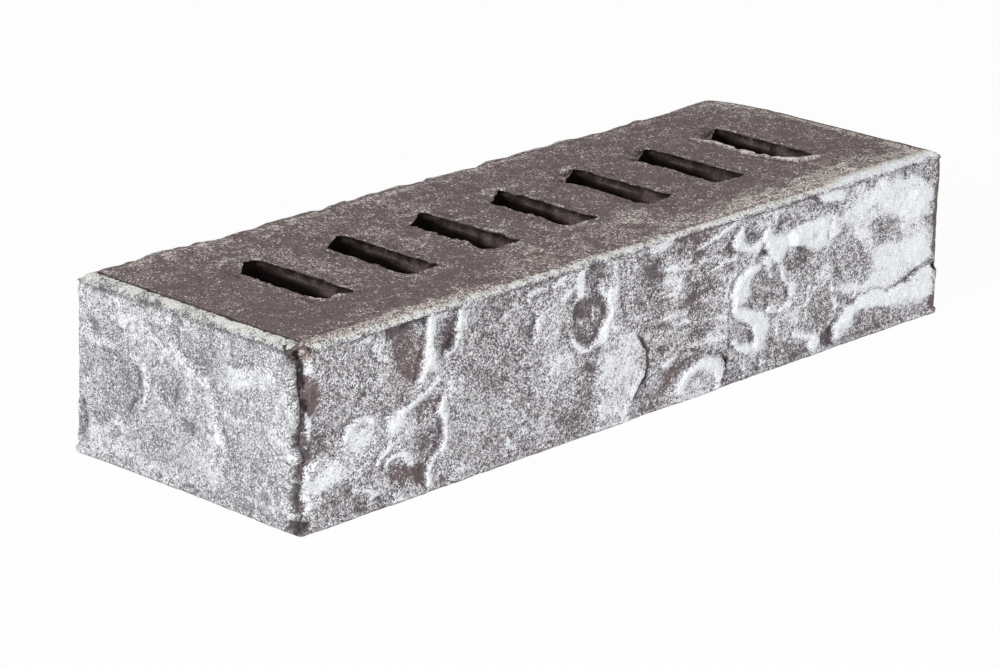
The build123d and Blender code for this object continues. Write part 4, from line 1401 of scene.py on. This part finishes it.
class Bed:
    """A wire-cut bed: a grid of points with a rectangle left open round each slot."""

    # The wire's way, from the back left to the front right: counterclockwise from the brick's length.
    WIRE = math.radians(-38.0)

    def __init__(self, sizes: Sizes, upper: bool, pitch: float) -> None:
        """Lays out the grid.

        Args:
            sizes: the brick's dimensions.
            upper: whether it is the upper bed, which shows.
            pitch: how far apart its points are.
        """
        self.sizes = sizes
        self.upper = upper
        self.pitch = pitch
        edge = sizes.arris_inset + 0.7 if upper else sizes.foot_radius + 1.6
        self.half = (sizes.length / 2.0 - edge, sizes.width / 2.0 - edge)

    def skin(self, base: Array) -> Skin:
        """Its relief and finish: 0.25 mm of noise at 14 mm, 0.2 at 4.5 mm, torn grain and drag lines.

        The drag lines are noise drawn out eight times along the wire's way.

        Args:
            base: places, last axis of 3.

        Returns:
            Their skin.
        """
        m = self.sizes
        flat = base * np.array([1.0, 1.0, 0.0])
        x, y, level = flat[..., 0], flat[..., 1], flat[..., 2]
        c, n = math.cos(self.WIRE), math.sin(self.WIRE)
        dragged = np.stack([(c * x + n * y) / 8.0, c * y - n * x, level], axis=-1)
        noise = partial(Noise.layered, flat)
        skin = Skin.bare(base.shape[:-1], 0.1)
        streak = Noise.layered(dragged, 1.5, 2, 307)
        grain = noise(2.6, 1, 311)
        skin.lift += 0.25 * noise(14.0, 2, 313) + 0.2 * noise(4.5, 1, 317)
        skin.lift += 0.14 * grain + 0.12 * streak + back_crumble(base, m)
        stir = 0.6 * noise(2.4, 2, 331)
        s, t = base[..., 0] + m.length / 2.0 + stir, m.width / 2.0 - base[..., 1] - stir
        skin.press(BED_MARKS, s, t, 1.0 + 0.4 * grain)
        skin.coat += 0.07 * noise(9.0, 3, 337) + 0.12 * grain + 0.06 * streak
        skin.warm += 0.2 * noise(20.0, 2, 341)
        return skin

    @staticmethod
    def _lines(low: float, high: float, stops: list[float], pitch: float) -> Array:
        """Grid lines along one axis.

        Args:
            low: the first.
            high: the last.
            stops: where there has to be one between them, in order.
            pitch: about how far apart they are.

        Returns:
            The lines' places.
        """
        ends = [low, *stops, high]
        gaps = zip(ends, ends[1:])
        runs = [np.linspace(a, b, max(1, round((b - a) / pitch)), endpoint=False) for a, b in gaps]
        return np.append(np.concatenate(runs), high)

    def build(self, shell: Shell, rim: Ring, holes: list[tuple[SlotWall, Ring]]) -> None:
        """Adds the bed and sews it to what is round it and to the slots.

        Args:
            shell: what it joins.
            rim: the faces' row that meets it.
            holes: each slot with its ring on this bed.
        """
        m = self.sizes
        reach_x, reach_y = holes[0][0].reach
        stops_x = sorted(hole.x + sign * reach_x for hole, _ in holes for sign in (-1, 1))
        stops_y = [-reach_y, reach_y]
        xs = self._lines(-self.half[0], self.half[0], stops_x, self.pitch)
        ys = self._lines(-self.half[1], self.half[1], stops_y, self.pitch)
        x, y = np.meshgrid(xs, ys)
        base = np.stack([x, y, np.full(x.shape, m.height if self.upper else 0.0)], axis=-1)
        skin = self.skin(base) if self.upper else Skin.bare(x.shape, 0.3)
        base[..., 2] += skin.lift
        numbers = shell.add(slumped(base, m), skin, 1.0)
        middle_x, middle_y = (xs[:-1] + xs[1:]) / 2.0, (ys[:-1] + ys[1:]) / 2.0
        keep = np.ones((middle_y.size, middle_x.size), bool)
        for hole, ring in holes:
            inside = np.abs(middle_x[None] - hole.x) < reach_x
            keep &= ~(inside & (np.abs(middle_y[:, None]) < reach_y))
            i = np.flatnonzero(np.abs(xs - hole.x) < reach_x + 1e-6)
            j = np.flatnonzero(np.abs(ys) < reach_y + 1e-6)
            border = self._border(numbers[np.ix_(j, i)], base[np.ix_(j, i)])
            shell.sew(border, ring, hole.x, hole.reach, flip=not self.upper)
        way = slice(None, None, 1 if self.upper else -1)
        shell.weave(numbers[:, way], keep=keep[:, way])
        shell.sew(rim, self._border(numbers, base), 0.0, self.half, flip=not self.upper)

    @staticmethod
    def _border(numbers: Array, places: Array) -> Ring:
        """The outer loop of a grid, from its front left corner."""
        def walk(v: Array) -> Array:
            """Front, right, back and left edges, each without its last point."""
            return np.concatenate([v[0, :-1], v[:-1, -1], v[-1, :0:-1], v[:0:-1, 0]])
        return Ring(walk(numbers), walk(places))


def colour(red: int, green: int, blue: int) -> tuple[float, float, float, float]:
    """The linear colour of a display colour given in steps of 255."""
    def linear(step: int) -> float:
        """One channel: (c / 12.92) below 0.04045, else ((c + 0.055) / 1.055)^2.4."""
        c = step / 255.0
        return c / 12.92 if c <= 0.04045 else ((c + 0.055) / 1.055) ** 2.4
    return (linear(red), linear(green), linear(blue), 1.0)


class Shade:
    """A node socket that can be reckoned with: +, - and * make Math nodes."""

    def __init__(self, graph: "Graph", socket: bpy.types.NodeSocket) -> None:
        """Wraps one output socket."""
        self.graph = graph
        self.socket = socket

    def _math(self, operation: str, *inputs: "Shade | float", clamp: bool = False) -> "Shade":
        """A Math node over the inputs."""
        settings = {"operation": operation, "use_clamp": clamp}
        return self.graph.shade("Math", settings, dict(enumerate(inputs)))

    def __add__(self, other: "Shade | float") -> "Shade":
        """self + other."""
        return self._math("ADD", self, other)

    def __sub__(self, other: "Shade | float") -> "Shade":
        """self - other."""
        return self._math("SUBTRACT", self, other)

    def __rsub__(self, other: float) -> "Shade":
        """other - self."""
        return self._math("SUBTRACT", other, self)

    def __mul__(self, other: "Shade | float") -> "Shade":
        """self * other."""
        return self._math("MULTIPLY", self, other)

    __radd__ = __add__
    __rmul__ = __mul__

    def clamped(self) -> "Shade":
        """Kept to 0..1."""
        return self._math("ADD", self, 0.0, clamp=True)

    def step(self, low: "Shade | float", high: "Shade | float") -> "Shade":
        """A smooth step from 0 at low to 1 at high."""
        inputs = {"Value": self, "From Min": low, "From Max": high}
        return self.graph.shade("MapRange", {"interpolation_type": "SMOOTHSTEP"}, inputs)

    def blend(self, dark: "Shade | tuple", light: "Shade | tuple") -> "Shade":
        """The colour dark where this is 0, light where it is 1."""
        return self.graph.shade("Mix", {"data_type": "RGBA"}, {0: self.clamped(), 6: dark, 7: light}, 2)

    def scaled(self, factor: "Shade | float") -> "Shade":
        """This vector or colour, times a number."""
        return self.graph.shade("VectorMath", {"operation": "SCALE"}, {0: self, 3: factor})


class Graph:
    """A material's or world's node tree."""

    def __init__(self, owner: bpy.types.Material | bpy.types.World) -> None:
        """Starts the tree empty."""
        owner.use_nodes = True
        self.tree = owner.node_tree
        self.tree.nodes.clear()

    def node(self, kind: str, settings: dict[str, object],
             inputs: dict[object, object]) -> bpy.types.Node:
        """Adds a node.

        Args:
            kind: its type, without the leading ShaderNode.
            settings: its own settings, made first.
            inputs: what each input takes, by name or number: a Shade to link, or a value.

        Returns:
            The node.
        """
        made = self.tree.nodes.new("ShaderNode" + kind)
        for name, value in settings.items():
            setattr(made, name, value)
        for key, value in inputs.items():
            if isinstance(value, Shade):
                self.tree.links.new(value.socket, made.inputs[key])
            else:
                made.inputs[key].default_value = value
        return made

    def shade(self, kind: str, settings: dict[str, object], inputs: dict[object, object],
              which: int | str = 0) -> Shade:
        """Adds a node and gives one of its outputs, by name or number."""
        return Shade(self, self.node(kind, settings, inputs).outputs[which])

    def place(self) -> Shade:
        """The place on the object, in millimetres."""
        return self.shade("TexCoord", {}, {}, "Object").scaled(1.0 / MM)

    def attribute(self, name: str) -> Shade:
        """A number that the mesh carries."""
        return self.shade("Attribute", {"attribute_name": name}, {}, "Fac")

    def noise(self, place: Shade, size: float, detail: float, rough: float = 0.55) -> Shade:
        """Smooth noise, 0 to 1, with bumps about size millimetres apart."""
        inputs = {"Vector": place, "Scale": 1.0 / size, "Detail": detail, "Roughness": rough}
        return self.shade("TexNoise", {}, inputs, "Fac")

    def grains(self, place: Shade, size: float) -> tuple[Shade, Shade, Shade]:
        """Grains of about one size.

        Args:
            place: where they are read.
            size: how far across they are, in millimetres.

        Returns:
            The distance to the grain's middle, and two numbers that each grain has.
        """
        inputs = {"Vector": place, "Scale": 1.0 / size, "Randomness": 1.0}
        cells = self.node("TexVoronoi", {"feature": "F1", "distance": "EUCLIDEAN"}, inputs)
        parts = self.node("SeparateColor", {}, {0: Shade(self, cells.outputs["Color"])})
        first, second = (Shade(self, parts.outputs[number]) for number in range(2))
        return Shade(self, cells.outputs["Distance"]), first, second

    def bump(self, height: Shade, depth: float, strength: float, under: Shade | None = None) -> Shade:
        """The surface's direction, roughened.

        Args:
            height: the relief, 0 to 1.
            depth: how high 1 is, in millimetres.
            strength: how much of it shows.
            under: a direction that is roughened further; the plain surface if None.

        Returns:
            The direction.
        """
        inputs = {"Height": height, "Distance": depth * MM, "Strength": strength}
        if under is not None:
            inputs["Normal"] = under
        return self.shade("Bump", {}, inputs, "Normal")

    def output(self, kind: str, surface: Shade) -> None:
        """Gives the tree its output."""
        self.node(kind, {}, {"Surface": surface})


@dataclass(frozen=True)
class FiredClay:
    """The brick's one finish: purple-grey clay under pale sand on the faces, bare clay on the beds,
    darkened with painted shade in hollows, grooves and slots.

    Its colours are given as they are displayed, and its grains in millimetres.
    """

    face: tuple = colour(106, 98, 102)
    face_warm: tuple = colour(120, 105, 105)
    face_cool: tuple = colour(120, 120, 122)
    sand: tuple = colour(239, 238, 242)
    slurry: tuple = colour(245, 248, 252)
    cream: tuple = colour(234, 234, 229)
    bed: tuple = colour(124, 110, 109)
    bed_warm: tuple = colour(132, 113, 107)
    bed_sand: tuple = colour(250, 240, 234)
    # The colour that painted shade darkens towards.
    shadow: tuple = colour(16, 8, 7)
    fleck: tuple = colour(70, 62, 63)
    # The dark line along the bed's edge: partly crumbled clay, partly a painted shadow.
    rim: tuple = colour(70, 61, 55)
    fine_grain: float = 0.29
    coarse_grain: float = 0.55
    roughness: float = 0.92
    specular: float = 0.1

    def material(self) -> bpy.types.Material:
        """Makes the finish.

        A grain is pale where its own number, mixed with noise, is above 1 - coat; dark flecks are the
        grains whose number is lowest. On the bed the coarse grains are spilled sand. Painted shade darkens
        the colour towards the shadow colour.

        Returns:
            The material.
        """
        material = bpy.data.materials.new("fired_clay")
        g = Graph(material)
        place = g.place()
        coat, warm, painted_shade, cool, bed = (g.attribute(name) for name in FINISH)
        fine_gap, fine, tint = g.grains(place, self.fine_grain)
        coarse_gap, coarse, spark = g.grains(place, self.coarse_grain)
        mid = g.noise(place, 0.55, 2.0)
        cloud = g.noise(place, 2.2, 3.0)
        flake = g.noise(place, 1.1, 1.0)
        vigour = 0.45 + 0.75 * g.noise(place, 3.6, 2.0).step(0.36, 0.58)
        cover = coat + (0.85 - 0.2 * cool) * (cloud - 0.5) + 0.4 * (flake - 0.5) + 0.35 * (mid - 0.5)
        # Where the coat is thick its edge is crisp, and where it is thin it breaks off.
        stirred = coat + 0.24 * (cloud - 0.5) + 0.22 * (mid - 0.5)
        crisp = 0.17 * stirred.step(0.66, 0.76) - 0.07 * stirred.step(0.36, 0.26)
        cover = cover + crisp * (1.0 - bed).clamped() * (1.0 - 0.5 * cool)
        pale = (cover + 0.95 * vigour * (fine - 0.5)).step(0.13, 0.91)
        sand = (coat + 0.6 * (cloud - 0.5)).step(0.5, 1.0).blend(self.sand, self.slurry)
        sand = bed.step(0.02, 0.09).blend(sand, self.cream)
        clay = cool.blend(warm.blend(self.face, self.face_warm), self.face_cool)
        fleck = (0.7 * fine + 0.3 * (mid - 0.5)).step(0.14, 0.05)
        flecked = 0.8 * fleck * (1.15 - coat) * (1.0 - 0.7 * cool)
        face = flecked.blend(pale.blend(clay, sand), self.fleck)
        ground = (0.7 * fleck).blend(warm.blend(self.bed, self.bed_warm), self.fleck)
        flock = 0.7 * (g.noise(place, 7.0, 3.0, 0.6) - 0.5)
        spilled = (coarse + 0.95 * coat + flock).step(0.97, 1.06) * coarse_gap.step(0.7, 0.46)
        bright = 0.22 + 1.1 * (spark * spark)
        top = (spilled * bright + 0.8 * (pale - 0.22).clamped()).clamped().blend(ground, self.bed_sand)
        # A ragged dark line where the bed meets the arris: partly crumbled clay, partly a painted shadow,
        # strongest on the short faces.
        border = bed + (0.9 - 0.9 * cool) * (g.noise(place, 0.8, 2.0) - 0.5)
        rim = border.step(0.3, 0.42) * border.step(0.92, 0.72)
        rim = rim * (0.1 + 3.0 * cool).clamped() * (1.9 * cloud).clamped()
        skin = rim.blend(border.step(0.46, 0.56).blend(face, top), self.rim)
        # Painted shade: the colour darkened towards the shadow colour, standing for shadow in hollows,
        # grooves, slots and under edges.
        dark = 0.4 * painted_shade + 0.6 * (painted_shade + 0.4 * (mid - 0.5)).step(0.15, 0.6)
        base = dark.blend(skin, self.shadow)
        shade = 0.76 + 0.36 * tint + 0.12 * mid + bed * (0.5 * (mid - 0.5) + 0.42 * (tint - 0.5))
        height = 0.7 * (1.0 - fine_gap) + 0.5 * fine + 0.3 * pale + 0.8 * bed * spilled
        normal = g.bump(height, 0.16, 0.9, g.bump(g.noise(place, 1.2, 4.0, 0.7), 0.5, 0.9))
        inputs = {"Base Color": base.scaled(shade), "Roughness": self.roughness,
                  "Specular IOR Level": self.specular, "Normal": normal}
        g.output("OutputMaterial", g.shade("BsdfPrincipled", {}, inputs))
        return material


class Brick:
    """The fired brick."""

    def __init__(self, node: str) -> None:
        """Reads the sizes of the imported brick.

        Args:
            node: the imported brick's name.
        """
        self.node = node
        self.sizes = Sizes.of(node)

    def build(self) -> bpy.types.Object:
        """Makes the piece and gives it its place in the frame."""
        shell = Shell()
        upper = Bed(self.sizes, upper=True, pitch=1.3)
        lower = Bed(self.sizes, upper=False, pitch=3.0)
        foot, crown = Faces(self.sizes).build(shell)
        above, below = [], []
        for number, mouth in enumerate(MOUTHS):
            x = (number - (len(MOUTHS) - 1) / 2.0) * self.sizes.slot_pitch
            wall = SlotWall(self.sizes, x, mouth)
            top, bottom = wall.build(shell, upper)
            above.append((wall, top))
            below.append((wall, bottom))
        upper.build(shell, crown, above)
        lower.build(shell, foot, below)
        mesh = shell.mesh("brick")
        piece = bpy.data.objects.new("brick", mesh)
        bpy.context.scene.collection.objects.link(piece)
        piece.data.materials.append(FiredClay().material())
        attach(piece, BODY)
        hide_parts(self.node)
        LOG.info("brick: %d points, %d triangles", len(mesh.vertices), len(mesh.polygons))
        return piece


@dataclass(frozen=True)
class Lamp:
    """A soft lamp: where it is, what it lights, how wide it is in metres and its power in watts."""

    name: str
    place: tuple[float, float, float]
    size: float
    power: float
    target: tuple[float, float, float] = (0.0, 0.0, 0.02)

    def hang(self) -> None:
        """Adds the lamp."""
        lamp = bpy.data.lights.new(self.name, "AREA")
        lamp.shape = "DISK"
        lamp.size = self.size
        lamp.energy = self.power
        holder = bpy.data.objects.new(self.name, lamp)
        bpy.context.scene.collection.objects.link(holder)
        holder.location = self.place
        ahead = Vector(self.target) - Vector(self.place)
        holder.rotation_euler = ahead.to_track_quat("-Z", "Y").to_euler()


@dataclass(frozen=True)
class Studio:
    """The camera, the lamps, the white floor and the white world."""

    lens: float = 130.79
    place: tuple[float, float, float] = (-0.68084, -0.65024, 0.33546)
    right: tuple[float, float, float] = (0.699763, -0.714312, 0.009495)
    down: tuple[float, float, float] = (-0.225334, -0.233319, -0.945932)
    ahead: tuple[float, float, float] = (0.677906, 0.659788, -0.324227)
    sky: float = 0.5
    glow: float = 0.96
    floor_half: float = 6.0
    lamps: tuple[Lamp, ...] = (
        Lamp("key", (-1.5, -0.3, 0.66), 0.2, 12.9),
        Lamp("fill", (-0.4, -1.45, 0.3), 0.8, 10.0),
    )

    def build(self) -> None:
        """Sets up everything round the brick."""
        scene = bpy.context.scene
        scene.view_settings.view_transform = "Standard"
        self._camera(scene)
        self._world(scene)
        self._floor(scene)
        for lamp in self.lamps:
            lamp.hang()

    def _camera(self, scene: bpy.types.Scene) -> None:
        """A camera at the photograph's place, made the scene's own.

        Args:
            scene: what it is for.
        """
        camera = bpy.data.cameras.new("camera")
        camera.lens = self.lens
        camera.sensor_width = 36.0
        camera.clip_start = 0.01
        camera.clip_end = 50.0
        holder = bpy.data.objects.new("camera", camera)
        scene.collection.objects.link(holder)
        up, back = -Vector(self.down), -Vector(self.ahead)
        turn = Matrix((Vector(self.right), up, back)).transposed()
        holder.matrix_world = Matrix.Translation(self.place) @ turn.to_4x4()
        scene.camera = holder

    @staticmethod
    def _seen(g: Graph) -> Shade:
        """1 for rays that show the background as such: from the camera, in a mirror or through glass."""
        path = g.node("LightPath", {}, {})
        names = ("Is Camera Ray", "Is Glossy Ray", "Is Transmission Ray")
        camera, mirror, glass = (Shade(g, path.outputs[name]) for name in names)
        return (camera + mirror + glass).clamped()

    def _world(self, scene: bpy.types.Scene) -> None:
        """A world that is white where it is seen, and a plain soft light.

        Args:
            scene: whose world it becomes.
        """
        world = bpy.data.worlds.new("white")
        scene.world = world
        g = Graph(world)
        soft = g.shade("Background", {}, {"Color": WHITE, "Strength": self.sky})
        seen = g.shade("Background", {}, {"Color": WHITE, "Strength": 1.0})
        g.output("OutputWorld", g.shade("MixShader", {}, {0: self._seen(g), 1: soft, 2: seen}))

    def _floor(self, scene: bpy.types.Scene) -> None:
        """A white floor that keeps a faint shadow.

        Args:
            scene: where it lies.
        """
        material = bpy.data.materials.new("floor")
        g = Graph(material)
        plain = g.shade("BsdfDiffuse", {}, {"Color": (0.8, 0.8, 0.8, 1.0)})
        glow = g.shade("Emission", {}, {"Color": WHITE, "Strength": 1.0})
        both = g.shade("MixShader", {}, {0: self.glow * self._seen(g), 1: plain, 2: glow})
        g.output("OutputMaterial", both)
        mesh = bpy.data.meshes.new("floor")
        half = self.floor_half
        corners = [(-half, -half, 0), (half, -half, 0), (half, half, 0), (-half, half, 0)]
        mesh.from_pydata(corners, [], [(0, 1, 2, 3)])
        mesh.materials.append(material)
        floor = bpy.data.objects.new("floor", mesh)
        scene.collection.objects.link(floor)


def main() -> None:
    """Builds the brick and the studio."""
    logging.basicConfig(level=logging.INFO)
    Brick(NODE).build()
    Studio().build()


if __name__ == "__main__":
    main()
